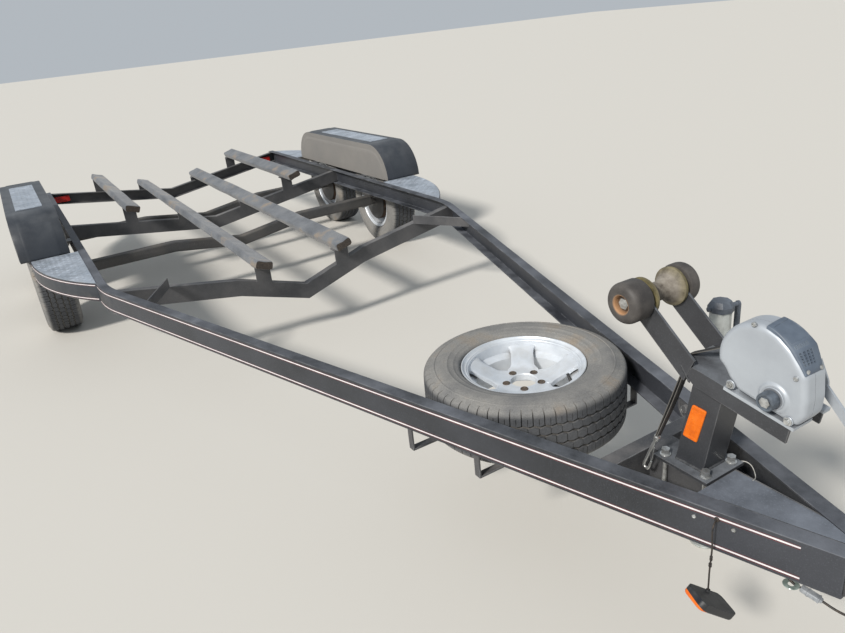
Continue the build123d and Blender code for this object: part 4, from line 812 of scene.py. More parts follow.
def lathe(build, profile, steps, middle=(0, 0, 0), layer=None):
    """Turn a closed profile of (radius, across) and maybe a mask about the Y axis through a point."""
    rings = []
    for turn in (math.tau * step / steps for step in range(steps)):
        ring = []
        for radius, across, *mask in profile:
            spot = middle[0] + radius * math.cos(turn), across, middle[2] + radius * math.sin(turn)
            vertex = build.verts.new(spot)
            if layer is not None:
                vertex[layer] = mask[0]
            ring.append(vertex)
        rings.append(ring)
    join_rows(build, rings, loop=True)


wheel_build = bmesh.new()
barrel = (
    (0.1935, 0.0840), (0.1950, 0.0825), (0.1950, 0.0775), (0.1935, 0.0762), (0.1790, 0.0762), (0.1772, 0.0740),
    (0.1760, 0.0560), (0.1740, 0.0380), (0.1560, 0.0240), (0.1555, -0.0140), (0.1740, -0.0280), (0.1775, -0.0500),
    (0.1790, -0.0762), (0.1935, -0.0762), (0.1950, -0.0775), (0.1950, -0.0825), (0.1935, -0.0840), (0.1905, -0.0836),
    (0.1880, -0.0800), (0.1730, -0.0760), (0.1715, -0.0330), (0.1500, -0.0180), (0.1495, 0.0270), (0.1700, 0.0400),
    (0.1712, 0.0600), (0.1735, 0.0720), (0.1830, 0.0762), (0.1880, 0.0790), (0.1905, 0.0836),
)
lathe(wheel_build, barrel, 120)

spoke_count = 5
spoke_spread = math.pi / spoke_count
web_end, window_start = 0.079, 0.085


def spoke_face(radius):
    """How far out the spokes' front stands at a radius: dished between hub and rim."""
    share = max(0.0, min(1.0, (radius - 0.072) / 0.098))
    return 0.0225 + 0.0415 * share ** 1.45


def spoke_back(radius):
    share = max(0.0, min(1.0, (radius - 0.080) / 0.090))
    return 0.0005 + 0.0455 * share ** 1.3


def spoke_turn(radius):
    """Half the angle a spoke takes up: flared into the hub and into the rim."""
    if radius <= window_start:
        return spoke_spread
    hub_flare = max(0.0, (0.106 - radius) / 0.021)
    rim_flare = max(0.0, (radius - 0.152) / 0.022)
    half = min(radius * math.tan(math.radians(35.99)), 0.0370 + 0.0190 * hub_flare ** 2 + 0.0100 * rim_flare ** 2)
    return math.asin(min(0.5877, half / radius))


radii = (
    0.0415, 0.0440, 0.060, 0.072, web_end, window_start, 0.090, 0.096, 0.104,
    0.112, 0.120, 0.130, 0.140, 0.149, 0.157, 0.164, 0.170, 0.1738,
)
for spoke in range(spoke_count):
    middle_turn = math.tau * spoke / spoke_count
    front_rows, back_rows = [], []
    for radius in radii:
        front, back = [], []
        for share in (-1.0, -0.94, -0.8, -0.45, 0.0, 0.45, 0.8, 0.94, 1.0):
            turn = middle_turn + spoke_turn(radius) * share
            crown = 0.0 if radius <= web_end else 0.0042 * (abs(share) ** 6)
            chamfer = 0.003 if radius < 0.043 else 0.0
            hollow = 0.003 if radius > window_start and abs(share) > 0.9 else 0.0
            for row, across in ((front, spoke_face(radius) - crown - chamfer), (back, spoke_back(radius) + hollow)):
                row.append(wheel_build.verts.new((radius * math.cos(turn), across, radius * math.sin(turn))))
        front_rows.append(front)
        back_rows.append(back)
    last = len(front_rows[0]) - 1
    for row in range(len(radii) - 1):
        front, back, front_out, back_out = front_rows[row], back_rows[row], front_rows[row + 1], back_rows[row + 1]
        for index in range(last):
            wheel_build.faces.new((front[index], front_out[index], front_out[index + 1], front[index + 1]))
            wheel_build.faces.new((back[index], back[index + 1], back_out[index + 1], back_out[index]))
        if radii[row] >= web_end:
            wheel_build.faces.new((front[0], back[0], back_out[0], front_out[0]))
            wheel_build.faces.new((front[last], front_out[last], back_out[last], back[last]))
    front, back = front_rows[0], back_rows[0]
    for index in range(last):
        wheel_build.faces.new((front[index + 1], back[index + 1], back[index], front[index]))
bmesh.ops.remove_doubles(wheel_build, verts=wheel_build.verts, dist=0.00004)
wheel_mesh = mesh_from("alloy_wheel", wheel_build, wheel_silver, 34)

zinc_tones = ((0.34, (0.30, 0.30, 0.29)), (0.52, (0.52, 0.53, 0.53)), (0.70, (0.70, 0.71, 0.70)))
zinc_plate, _, zinc_shader = clouded("zinc_plate", (60.0, 6.0, 0.6), zinc_tones, (0.5, 0.27), (0.0002, 0.35), (700.0,))
zinc_shader.inputs["Metallic"].default_value = 0.85

# The spare's stud seats are grimy rings. Their middles close over the stud holes as dark discs of painted shade.
seat_and_hole_shade_tones = ((0.38, (0.028, 0.022, 0.018)), (0.62, (0.125, 0.095, 0.070)))
stud_grime_and_hole_shade = clouded("stud_seats", (140.0, 6.0, 0.65), seat_and_hole_shade_tones, (0.6, 0.9), (0.0006, 0.5))[0]
stud_reach = 0.05715
axis_z = Vector((0, 0, 1))
seat_steps = (0.0125, 0.0224), (0.0122, 0.0240), (0.0115, 0.0247), (0.0105, 0.0246), (0.0096, 0.0230), (0.0, 0.0228)
seat_build = bmesh.new()
for seat in range(spoke_count):
    seat_turn = math.tau * (seat + 0.5) / spoke_count
    rows = []
    for radius, out in seat_steps:
        middle = Vector((stud_reach * math.cos(seat_turn), out, stud_reach * math.sin(seat_turn)))
        rows.append([seat_build.verts.new(spot) for spot in ring_about(middle, axis_x, axis_z, radius, 20)])
    join_rows(seat_build, rows)
bmesh.ops.remove_doubles(seat_build, verts=seat_build.verts, dist=0.00002)
seat_mesh = mesh_from("stud_seats", seat_build, stud_grime_and_hole_shade, 180)


def turned_on(build, middle, outward, first, second, steps, sides):
    """A turned piece that stands out from a place, from (out, radius) steps."""
    sweep_ring(build, [ring_about(middle + outward * out, first, second, radius, sides) for out, radius in steps])


valve_tones = ((0.4, (0.016, 0.016, 0.017)), (0.65, (0.045, 0.044, 0.043)))
valve_rubber = clouded("valve_rubber", (300.0,), valve_tones, (0.5, 0.75), (0.0002, 0.4))[0]
valve_axis = Vector((-0.42, 0.90, 0.0)).normalized()
valve_steps = (
    (-0.006, 0.0072), (0.0, 0.0078), (0.003, 0.0076), (0.006, 0.0056), (0.020, 0.0046),
    (0.0205, 0.0042), (0.0225, 0.0042), (0.0228, 0.0049), (0.0285, 0.0047), (0.0292, 0.0036),
)
valve_build = bmesh.new()
valve_side = Vector((valve_axis.y, -valve_axis.x, 0))
turned_on(valve_build, Vector((0.1655, 0.0560, 0.0)), valve_axis, valve_side, axis_z, valve_steps, 16)
valve_turn = Matrix.Rotation(math.radians(22), 3, "Y")
bmesh.ops.rotate(valve_build, verts=valve_build.verts, cent=(0, 0, 0), matrix=valve_turn)
valve_mesh = mesh_from("valve_stem", valve_build, valve_rubber, 40)

for place_name in (*wheel_places, "spare"):
    spare = place_name == "spare"
    node_name = "spare_wheel" if spare else "wheel_" + place_name
    body = "chassis" if spare else "running_" + place_name
    turned = (upright, 0, math.radians(-1)) if spare else (0, 0, math.pi if place_name.endswith("right") else 0)
    set_on_wheel("alloy_" + place_name, wheel_mesh, node_name, body, turned)
    if spare:
        set_on_wheel("seats_spare", seat_mesh, node_name, body, turned, replaced=False)
    set_on_wheel("valve_" + place_name, valve_mesh, node_name, body, turned, replaced=False)

# Fenders and steps: folded steel shells in smooth slate black paint, bolted to
# the rails. Road dust and painted sunlight grey the faces toward the wheels and the hull.
fender_black, fender_tree, fender_shader = new_material("fender_black")
fender_place = texture_place(fender_tree)
fender_cloud = noise(fender_tree, fender_place, 3.2, 7.0, 0.6)
fender_base = colour_steps(fender_tree, fender_cloud, ((0.36, (0.019, 0.023, 0.031)), (0.64, (0.031, 0.037, 0.047))))
fender_facing = apart(fender_tree, face_normal(fender_tree))["Y"]
fender_side = figure(fender_tree, "MULTIPLY", fender_facing, apart(fender_tree, fender_place)["Y"])
# Faces turned toward the hull get a pale grey: partly road dust, partly painted sunlight.
fender_inward = between(fender_tree, fender_side, -0.3, -0.85)
fender_dust_and_sunlight = veil(fender_tree, fender_cloud, 1.0, (0.195, 0.188, 0.180), (0.235, 0.222, 0.205), 0.3, 0.7)
fender_inner_faces_lit = veil(fender_tree, fender_inward, 0.92, fender_base, fender_dust_and_sunlight)
fender_film = place_group(fender_tree, settled_dust, patch_scale=7.0, everywhere=0.2)
fender_dusty = veil(fender_tree, fender_film["Mask"], 0.4, fender_inner_faces_lit, (0.150, 0.155, 0.162))
fender_rub = place_group(fender_tree, corner_wear, radius=0.006, patchiness=11.0)
fender_worn = veil(fender_tree, fender_rub["Mask"], 0.55, fender_dusty, (0.27, 0.25, 0.22))
shade(fender_tree, fender_shader, fender_worn, between(fender_tree, fender_inward, 0.0, 1.0, 0.42, 0.8))
raise_surface(fender_tree, fender_shader, noise(fender_tree, fender_place, 420.0, 3.0, 0.7), 0.0003, 0.3)
for part in ("fender_left", "fender_right", "step_front_left", "step_front_right", "step_rear_left", "step_rear_right"):
    finish_node(part, fender_black, 0.0012, 40.0)

# Tread plates: bright aluminium sheet with raised lozenges in crossing pairs,
# riveted on the fenders' tops and on the steps. Traffic film lies between the
# lozenges.
tread_bright, tread_tree, tread_shader = new_material("tread_bright")
tread_place = texture_place(tread_tree)
tread_cloud = noise(tread_tree, tread_place, 9.0, 7.0, 0.62)
tread_base = colour_steps(tread_tree, tread_cloud, ((0.34, (0.36, 0.41, 0.475)), (0.66, (0.54, 0.595, 0.675))))
tread_film = place_group(tread_tree, settled_dust, patch_scale=26.0, everywhere=0.3)
tread_dusty = veil(tread_tree, tread_film["Mask"], 0.45, tread_base, (0.20, 0.205, 0.21), 0.1)
shade(tread_tree, tread_shader, tread_dusty, between(tread_tree, tread_cloud, 0.3, 0.7, 0.34, 0.52))
tread_shader.inputs["Metallic"].default_value = 0.45
raise_surface(tread_tree, tread_shader, noise(tread_tree, tread_place, 300.0, 3.0, 0.7), 0.0002, 0.3)


def plate_tops(name):
    """The up facing triangles of a node, as flat (x, y) corners by height."""
    mesh = nodes[name].data
    tops = {}
    for face in mesh.polygons:
        if face.normal.z > 0.99:
            flat = [Vector(mesh.vertices[index].co.xy) for index in face.vertices]
            tops.setdefault(round(face.center.z, 4), []).extend(zip(flat[:1] * (len(flat) - 2), flat[1:], flat[2:]))
    return tops


def inside_triangles(point, triangles):
    for a, b, c in triangles:
        turns = [(b - a).cross(point - a), (c - b).cross(point - b), (a - c).cross(point - c)]
        if min(turns) >= 0 or max(turns) <= 0:
            return True
    return False


lozenge_pitch, lozenge_half, lozenge_wide, lozenge_tip = 0.0245, 0.0112, 0.0031, 0.0118
for side_name in ("left", "right"):
    finish_node("treads_" + side_name, tread_bright)
    lozenges = bmesh.new()
    for height, triangles in plate_tops("treads_" + side_name).items():
        corners = [corner for triangle in triangles for corner in triangle]
        columns, rows = [
            range(int(min(places) / lozenge_pitch) - 1, int(max(places) / lozenge_pitch) + 2)
            for places in zip(*corners)
        ]
        for column in columns:
            for row in rows:
                middle = Vector((column, row)) * lozenge_pitch
                along = Vector((1, 1 if (column + row) % 2 else -1)).normalized()
                across = Vector((-along.y, along.x))
                if not all(inside_triangles(middle + along * tip, triangles) for tip in (lozenge_tip, -lozenge_tip)):
                    continue
                rings = []
                for length, width, lift in ((1.0, 1.0, -0.0002), (0.72, 0.45, 0.0013)):
                    long_way, wide_way = along * lozenge_half * length, across * lozenge_wide * width
                    spots = ring_about(middle, long_way, wide_way, 1.0, 8)
                    rings.append([lozenges.verts.new((*spot, height + lift)) for spot in spots])
                join_rows(lozenges, rings)
                lozenges.faces.new(rings[-1])
    bmesh.ops.recalc_face_normals(lozenges, faces=lozenges.faces)
    for face in lozenges.faces:
        if face.normal.z < -0.5:
            face.normal_flip()
    add_mesh("lozenges_" + side_name, lozenges, tread_bright, smooth=50, outward=False)

# Skirt tape: the steps' outer faces carry the same cut vinyl lines as the
# rails, near their top and their bottom edges.


def front_skirt_y(x):
    """The front step's outer face: an arc that curves in to the rail."""
    return 0.0545 + math.sqrt(1.1805 ** 2 - (x + 0.928) ** 2)


def rear_skirt_y(x):
    return 0.4725 + math.sqrt(0.7625 ** 2 - (x + 2.508) ** 2)


skirts = (("front", front_skirt_y, -0.922, -0.216), ("rear", rear_skirt_y, -3.060, -2.514))
for side, label in ((-1, "right"), (1, "left")):
    for row, middle in (("top", 0.5105), ("bottom", 0.4395)):
        for end, outline, first_x, last_x in skirts:
            stations = [first_x + (last_x - first_x) * step / 40 for step in range(41)]
            pinstripe("skirt_%s_%s_%s" % (row, end, label), side, stations, outline, middle)

# Winch stand: a square post on a clamped base plate, a deck between two side
# bars, and two wider bars up to the roller, welded and painted like the frame.
# The deck lies open to the sun and is bleached grey. The bolts are zinc plated.
stand_tones = (0.020, 0.021, 0.024), (0.036, 0.037, 0.042), (0.275, 0.300, 0.335)
stand_black = wrinkle_paint("stand_black", *stand_tones, dust_share=0.78, wear=(0.24, 0.24, 0.25), everywhere=0.10)
for part in ("stand_post", "stand_head"):
    finish_node(part, stand_black, 0.0013)
finish_node("stand_studs", zinc_plate, 0.0010)
stand_lean = math.radians(9.5)
stand_x, base_top = 2.490, 0.5245


def stand_spot(forward, above, y):
    """A point in the leaning stand's own side view, in metres forward of and above its foot."""
    return Vector((
        stand_x + forward * math.cos(stand_lean) + above * math.sin(stand_lean), y,
        base_top - forward * math.sin(stand_lean) + above * math.cos(stand_lean),
    ))


foot_welds = bmesh.new()
foot_rear_x, foot_front_x, foot_y = stand_x - 0.0477, stand_x + 0.0294, 0.0380
foot_middle = Vector(((foot_rear_x + foot_front_x) / 2, 0))
foot_corners = [(foot_rear_x, -foot_y), (foot_front_x, -foot_y), (foot_front_x, foot_y), (foot_rear_x, foot_y)]
for seed, (one, other) in enumerate(zip(foot_corners, foot_corners[1:] + foot_corners[:1])):
    outward = ((Vector(one) + Vector(other)) / 2 - foot_middle).normalized()
    ends = [(*corner, base_top + 0.001) for corner in (one, other)]
    weld_run(foot_welds, *ends, (*outward, 0.8), 0.0045, 60 + seed)
for seed, side in enumerate((1, -1)):
    ends = [stand_spot(forward, above, side * 0.0585) for forward, above in ((-0.073, 0.2555), (-0.042, 0.2255))]
    weld_run(foot_welds, *ends, (0, side, 0.2), 0.0030, 66 + seed)
add_mesh("stand_welds", foot_welds, weld_metal, smooth=60, outward=False)

# Reflector: a moulded orange plate stuck on the post's right face, with a flat
# border round fine prisms.


def pattern(tree, kind, scale):
    """A texture node of one scale, laid out in the trailer's own frame."""
    texture = tree.nodes.new(kind)
    texture.inputs["Scale"].default_value = scale
    tree.links.new(texture_place(tree), texture.inputs["Vector"])
    return texture


orange_tones = ((0.30, (0.58, 0.105, 0.004)), (0.50, (0.74, 0.145, 0.003)), (0.72, (0.80, 0.185, 0.012)))
reflector_orange, reflector_tree, reflector_shader = clouded(
    "reflector_orange", (45.0, 5.0, 0.6), orange_tones, (0.5, 0.32)
)
prisms = pattern(reflector_tree, "ShaderNodeTexVoronoi", 380.0)
raise_surface(reflector_tree, reflector_shader, prisms.outputs["Distance"], 0.0012, 0.6)


def rounded_corners(corners, radius, steps=4):
    """A closed outline with each corner cut by an arc of the radius."""
    outline = []
    for before, corner, after in zip(corners[-1:] + corners[:-1], corners, corners[1:] + corners[:1]):
        first, last = (before - corner).normalized(), (after - corner).normalized()
        for share in (step / steps for step in range(steps + 1)):
            outline.append(corner + first * radius * (1 - share) ** 2 + last * radius * share ** 2)
    return outline


def on_side(spots, across):
    """Spots of the stand's side view, set at one place across the trailer."""
    return [stand_spot(*spot, across) for spot in spots]


def middle_of(spots):
    return sum(spots, Vector((0, 0))) / len(spots)


reflector_corners = [Vector(spot) for spot in ((-0.0345, 0.162), (0.0026, 0.166), (-0.0027, 0.072), (-0.0416, 0.068))]
reflector_middle = middle_of(reflector_corners)
reflector_edge = rounded_corners(reflector_corners, 0.005)
reflector_steps = (0.0, 0.0), (0.0, 0.0022), (0.0012, 0.0034), (0.0042, 0.0034), (0.0052, 0.0026), (0.0060, 0.0026)
reflector_build = bmesh.new()
sweep_ring(reflector_build, [
    on_side([reflector_middle.lerp(spot, 1 - inset / 0.026) for spot in reflector_edge], -0.0379 - out)
    for inset, out in reflector_steps
])
add_mesh("post_reflector", reflector_build, reflector_orange, smooth=25)

# Bow roller: a waisted moulding of pale polyurethane gone tan and grey, with
# yellow and green growth at its rims and dark scuffs, between two round end
# bells of brown grey rubber on one zinc plated bolt.
urethane, urethane_tree, urethane_shader = new_material("roller_urethane")
urethane_place = texture_place(urethane_tree)
urethane_cloud = noise(urethane_tree, urethane_place, 24.0, 8.0, 0.66)
urethane_scuff = noise(urethane_tree, urethane_place, 15.0, 5.0, 0.6)
urethane_reach = figure(urethane_tree, "ABSOLUTE", apart(urethane_tree, urethane_place)["Y"])
tan_tones = ((0.36, (0.075, 0.062, 0.048)), (0.48, (0.180, 0.158, 0.130)), (0.64, (0.290, 0.262, 0.225)))
moss_tones = ((0.36, (0.070, 0.060, 0.022)), (0.62, (0.200, 0.165, 0.055)))
urethane_tan, urethane_moss = [colour_steps(urethane_tree, urethane_cloud, tones) for tones in (tan_tones, moss_tones)]
urethane_rimmed = veil(urethane_tree, urethane_reach, 0.8, urethane_tan, urethane_moss, 0.030, 0.050)
urethane_stained = veil(urethane_tree, urethane_scuff, 0.85, urethane_rimmed, (0.045, 0.034, 0.025), 0.56, 0.66)
shade(urethane_tree, urethane_shader, urethane_stained, between(urethane_tree, urethane_cloud, 0.3, 0.7, 0.58, 0.86))
raise_surface(urethane_tree, urethane_shader, urethane_cloud, 0.0020, 0.5)

bell_rubber, bell_tree, bell_shader = new_material("bell_rubber")
bell_place = texture_place(bell_tree)
bell_cloud = noise(bell_tree, bell_place, 18.0, 7.0, 0.62)
bell_speck = noise(bell_tree, bell_place, 420.0, 3.0, 0.7)
bell_tone = colour_steps(bell_tree, bell_cloud, ((0.36, (0.040, 0.036, 0.034)), (0.64, (0.090, 0.082, 0.076))))
bell_ringed = blend_colour(bell_tree, painted_mask(bell_tree, "ring"), bell_tone, (0.42, 0.235, 0.120))
bell_specked = veil(bell_tree, bell_speck, 0.35, bell_ringed, (0.22, 0.20, 0.18), 0.60, 0.72)
shade(bell_tree, bell_shader, bell_specked, between(bell_tree, bell_cloud, 0.3, 0.7, 0.48, 0.75))
raise_surface(bell_tree, bell_shader, bell_speck, 0.0004, 0.4)

roller_middle = stand_spot(-0.215, 0.357, 0.0)
pin_radius = 0.0090
roller_half, roller_end, roller_rim, roller_waist = 0.0515, 0.0470, 0.0080, 0.0230
hollow_span = roller_half - roller_rim
hollow_radius = (hollow_span ** 2 + (roller_end - roller_waist) ** 2) / (2 * (roller_end - roller_waist))
roller_cheek = ((pin_radius, 0.0), (0.0440, 0.0), (0.0462, 0.0008), (roller_end, 0.0026))
roller_profile = [(radius, inset - roller_half) for radius, inset in roller_cheek]
for across in (hollow_span * (step / 12 - 1) for step in range(25)):
    roller_profile.append((roller_waist + hollow_radius - math.sqrt(hollow_radius ** 2 - across ** 2), across))
roller_profile += [(radius, roller_half - inset) for radius, inset in reversed(roller_cheek)]
roller_build = bmesh.new()
lathe(roller_build, roller_profile, 80, roller_middle)
chance = random.Random(7)
roller_waves = [(chance.uniform(30, 90), chance.uniform(0, 6), chance.uniform(0.0002, 0.0005)) for _ in range(6)]
for vertex in roller_build.verts:
    y = vertex.co.y
    offset = vertex.co - Vector((roller_middle.x, y, roller_middle.z))
    if offset.length > 0.02 and abs(y) < roller_half - 0.001:
        around = 2 * math.atan2(offset.z, offset.x)
        swell = sum(depth * math.sin(pace * y + around + phase) for pace, phase, depth in roller_waves) - 0.0006
        vertex.co += offset.normalized() * min(0.0, swell)
roller_piece = add_mesh("hourglass_roller", roller_build, urethane, body="roller", smooth=40)
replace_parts(roller_piece, "bow_roller")

bell_build = bmesh.new()
ring_layer = bell_build.verts.layers.float.new("ring")
bell_low, bell_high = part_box("roller_bells")
bell_start, bell_round = 0.0605, 0.0170
bell_back = ((pin_radius, 0.0), (0.0450, 0.0), (0.0475, 0.0012), (0.0490, 0.0040))
bell_mouth = (
    (0.0255, 0.0, 0), (0.0228, 0.0006, 0.55), (0.0214, 0.0024, 1), (0.0210, 0.0050, 1),
    (0.0206, 0.0110, 0.8), (0.0200, 0.0172, 0.3), (0.0180, 0.0180, 0.3), (pin_radius, 0.0180, 0),
)
for side, bell_end in ((-1, -bell_low[1]), (1, bell_high[1])):
    outline = [(radius, bell_start + inset, 0) for radius, inset in bell_back] + [(0.0490, bell_end - 0.0200, 0)]
    for turn in (math.radians(9 * step) for step in range(11)):
        outline.append((0.0320 + bell_round * math.cos(turn), bell_end - bell_round * (1 - math.sin(turn)), 0))
    outline += [(radius, bell_end - inset, mask) for radius, inset, mask in bell_mouth]
    mirrored = [(radius, side * across, mask) for radius, across, mask in outline]
    lathe(bell_build, mirrored, 72, roller_middle, ring_layer)
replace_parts(add_mesh("end_bells", bell_build, bell_rubber, smooth=35), "roller_bells")
finish_node("roller_pin", zinc_plate, 0.0012)

# Winch: an electric strap winch in a pressed steel case, satin silver, with a
# raised contour on its near face and a dark moulded vent cover over its front.
# Two through bolts hold it on the side bar. A knob sets the clutch.
winch_silver, case_tree, case_shader = new_material("winch_silver")
case_place = texture_place(case_tree)
case_cloud = noise(case_tree, case_place, 11.0, 6.0, 0.6)
case_base = colour_steps(case_tree, case_cloud, ((0.34, (0.385, 0.415, 0.455)), (0.66, (0.445, 0.480, 0.520))))
# Painted shade: the silver darkens in the pressed face's creases and round its bosses, where the surface is closed in.
case_crease_shaded = veil(case_tree, openness(case_tree, 0.010), 0.75, case_base, (0.16, 0.17, 0.19), 0.93, 0.45)
shade(case_tree, case_shader, case_crease_shaded, between(case_tree, case_cloud, 0.3, 0.7, 0.40, 0.50))
case_shader.inputs["Metallic"].default_value = 0.3
raise_surface(case_tree, case_shader, noise(case_tree, case_place, 950.0, 2.0), 0.00015, 0.25)


def heading(turn):
    """A direction in the winch's side view."""
    return Vector((math.cos(turn), math.sin(turn)))


def arc(middle, radius, first, step, count):
    """Spots on a circle of the side view, at whole steps of so many degrees."""
    return [middle + heading(math.radians(first + step * number)) * radius for number in range(count)]


lobe_middle, lobe_radius = Vector((0.097, 0.355)), 0.089
case_corners = arc(lobe_middle, lobe_radius, 92, 8, 15)
case_corners += [Vector(spot) / 1000 for spot in (
    (27, 317.5), (46, 297), (70, 281), (201, 275), (212, 300),
    (208, 335), (194, 384), (176, 402), (150, 424), (123, 438),
)]
case_middle = Vector((0.122, 0.345))
case_steps = 180


def case_reach(turn):
    """How far the case's side outline is from its middle in one direction."""
    ray = heading(turn)
    reach = 0.0
    for one, other in zip(case_corners, case_corners[1:] + case_corners[:1]):
        edge = other - one
        spread = ray.cross(edge)
        if abs(spread) > 1e-9:
            from_one = one - case_middle
            distance, share = from_one.cross(edge) / spread, from_one.cross(ray) / spread
            if distance > 0 and -1e-6 <= share <= 1 + 1e-6:
                reach = max(reach, distance)
    return reach


case_turns = [math.tau * step / case_steps for step in range(case_steps)]
case_raw = [case_reach(turn) for turn in case_turns]
case_soft = [sum(case_raw[(index + shift) % case_steps] for shift in range(-2, 3)) / 5 for index in range(case_steps)]
case_soft = [soft if raw - soft > 0.0004 else (raw + soft) / 2 for raw, soft in zip(case_raw, case_soft)]
case_line = [case_middle + heading(turn) * reach for turn, reach in zip(case_turns, case_soft)]
case_inward = []
for before, after in zip(case_line[-1:] + case_line[:-1], case_line[1:] + case_line[:1]):
    edge = (after - before).normalized()
    case_inward.append(Vector((-edge.y, edge.x)))


def case_ring(inset):
    return [spot + inward * inset for spot, inward in zip(case_line, case_inward)]


def smooth_step(value, low, high):
    share = max(0.0, min(1.0, (value - low) / (high - low)))
    return share * share * (3 - 2 * share)


knob_middle = Vector((0.147, 0.312))


def face_height(spot, from_edge):
    """How far the pressed face stands off its rim: a contour, a panel in two steps and the knob's boss."""
    groove = smooth_step(from_edge, 0.0125, 0.0145) * smooth_step(from_edge, 0.0180, 0.0155)
    height = 0.0042 * smooth_step(from_edge, 0.0160, 0.0205) - 0.0012 * groove
    panel = (spot - Vector((0.0576, 0.3298))).length
    height += 0.0022 * smooth_step(panel, 0.0985, 0.0955) * smooth_step(from_edge, 0.022, 0.027)
    height += 0.0020 * smooth_step(panel, 0.0880, 0.0850) * smooth_step(from_edge, 0.029, 0.034)
    boss = (spot - knob_middle).length
    return height + (0.0040 - height) * smooth_step(boss, 0.034, 0.027)


case_round, case_shoulder = 0.0120, -0.0560
winch_near_y = case_shoulder - case_round
case_section = [(0.010, -0.0080), (0.0015, -0.0080), (0.0, -0.0095), (0.0, -0.0300), (0.0, -0.0385)]
case_section += [(0.0007, -0.0388), (0.0007, -0.0400), (0.0, -0.0403), (0.0, case_shoulder)]
for turn in (math.radians(15 * step) for step in range(1, 7)):
    case_section.append((case_round * (1 - math.cos(turn)), case_shoulder - case_round * math.sin(turn)))
case_rings = [on_side(case_ring(inset), across) for inset, across in case_section]
rim_ring = case_ring(case_round)
face_rows = 44
for share in (1 - row / face_rows for row in range(1, face_rows)):
    ring = []
    for start, inward in zip(rim_ring, case_inward):
        spot = case_middle.lerp(start, share)
        from_edge = case_round + (start - spot).dot(inward)
        ring.append(stand_spot(*spot, winch_near_y - face_height(spot, from_edge)))
    case_rings.append(ring)
case_build = bmesh.new()
sweep_ring(case_build, case_rings)


def disc_ring(middle, radius, across, sides=24, first=0.0):
    """Points of a circle, or of a hexagon, about a spot in the winch's side view."""
    return on_side(ring_about(Vector(middle), Vector((1, 0)), Vector((0, 1)), radius, sides, first), across)


def stepped_disc(build, middle, steps, sides=24, first=0.0):
    """A turned piece about a spot of the side view, from (radius, y) steps."""
    sweep_ring(build, [disc_ring(middle, radius, across, sides, first) for radius, across in steps])


boss_steps = (
    (0.0240, -0.0700), (0.0240, -0.0728), (0.0232, -0.0738), (0.0218, -0.0740), (0.0205, -0.0736), (0.0198, -0.0725)
)
stepped_disc(case_build, knob_middle, boss_steps, 48)
bolt_spots = (0.0562, 0.2872), (0.1869, 0.2825)
for spot in bolt_spots:
    stepped_disc(case_build, spot, ((0.0100, -0.0600), (0.0100, -0.0694), (0.0092, -0.0702), (0.0070, -0.0703)), 32)
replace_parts(add_mesh("winch_case", case_build, winch_silver, smooth=38), "winch")

fixings = bmesh.new()
screw_steps = (0.0050, -0.0660), (0.0050, -0.0700), (0.0042, -0.0712), (0.0024, -0.0716), (0.0022, -0.0704)
for spot in ((0.0701, 0.4392), (0.1762, 0.3755)):
    stepped_disc(fixings, spot, screw_steps, 20)
for spot in bolt_spots:
    stepped_disc(fixings, spot, ((0.0085, -0.0700), (0.0085, -0.0716), (0.0078, -0.0720)))
    stepped_disc(fixings, spot, ((0.0062, -0.0715), (0.0064, -0.0752), (0.0056, -0.0762)), 6, 0.4)
stepped_disc(fixings, knob_middle, ((0.0115, -0.0960), (0.0115, -0.0974), (0.0104, -0.0979)), 6, 0.2)
stepped_disc(fixings, knob_middle, ((0.0062, -0.0960), (0.0062, -0.09797), (0.0052, -0.0980)), 20)
add_mesh("winch_fixings", fixings, zinc_plate, smooth=30)

knob_tones = ((0.36, (0.055, 0.066, 0.080)), (0.66, (0.120, 0.146, 0.180)))
knob_rubber = clouded("knob_rubber", (60.0, 6.0, 0.6), knob_tones, (0.48, 0.7), (0.0006, 0.4))[0]
knob_steps = (
    (0.0165, -0.0725), (0.0180, -0.0740), (0.0190, -0.0765), (0.0190, -0.0930), (0.0186, -0.0956),
    (0.0172, -0.0972), (0.0150, -0.0976), (0.0135, -0.0972), (0.0130, -0.0955), (0.0125, -0.0948),
)
grip_start, grip_sides, grip_depth = 0.0183, 96, 0.0006
knob_rings = []
for radius, across in knob_steps:
    cuts = [grip_depth if radius > grip_start and k % 8 in (0, 1) else 0.0 for k in range(grip_sides)]
    spots = [knob_middle + heading(math.tau * k / grip_sides) * (radius - cut) for k, cut in enumerate(cuts)]
    knob_rings.append(on_side(spots, across))
knob_build = bmesh.new()
sweep_ring(knob_build, knob_rings)
add_mesh("clutch_knob", knob_build, knob_rubber, smooth=35)

# Vent cover: a curved plastic moulding with a shallow panel, five rows of
# square vents and two screws at its foot.
vent_plastic, vent_tree, vent_shader = new_material("vent_plastic")
vent_place = texture_place(vent_tree)
vent_cloud = noise(vent_tree, vent_place, 30.0, 6.0, 0.6)
vent_tone = colour_steps(vent_tree, vent_cloud, ((0.34, (0.078, 0.100, 0.135)), (0.66, (0.112, 0.142, 0.185))))
vent_rub = place_group(vent_tree, corner_wear, radius=0.002, patchiness=40.0)
vent_worn = veil(vent_tree, vent_rub["Mask"], 0.5, vent_tone, (0.22, 0.25, 0.28))
shade(vent_tree, vent_shader, vent_worn, between(vent_tree, vent_cloud, 0.3, 0.7, 0.45, 0.6))
raise_surface(vent_tree, vent_shader, noise(vent_tree, vent_place, 520.0), 0.0003, 0.4)

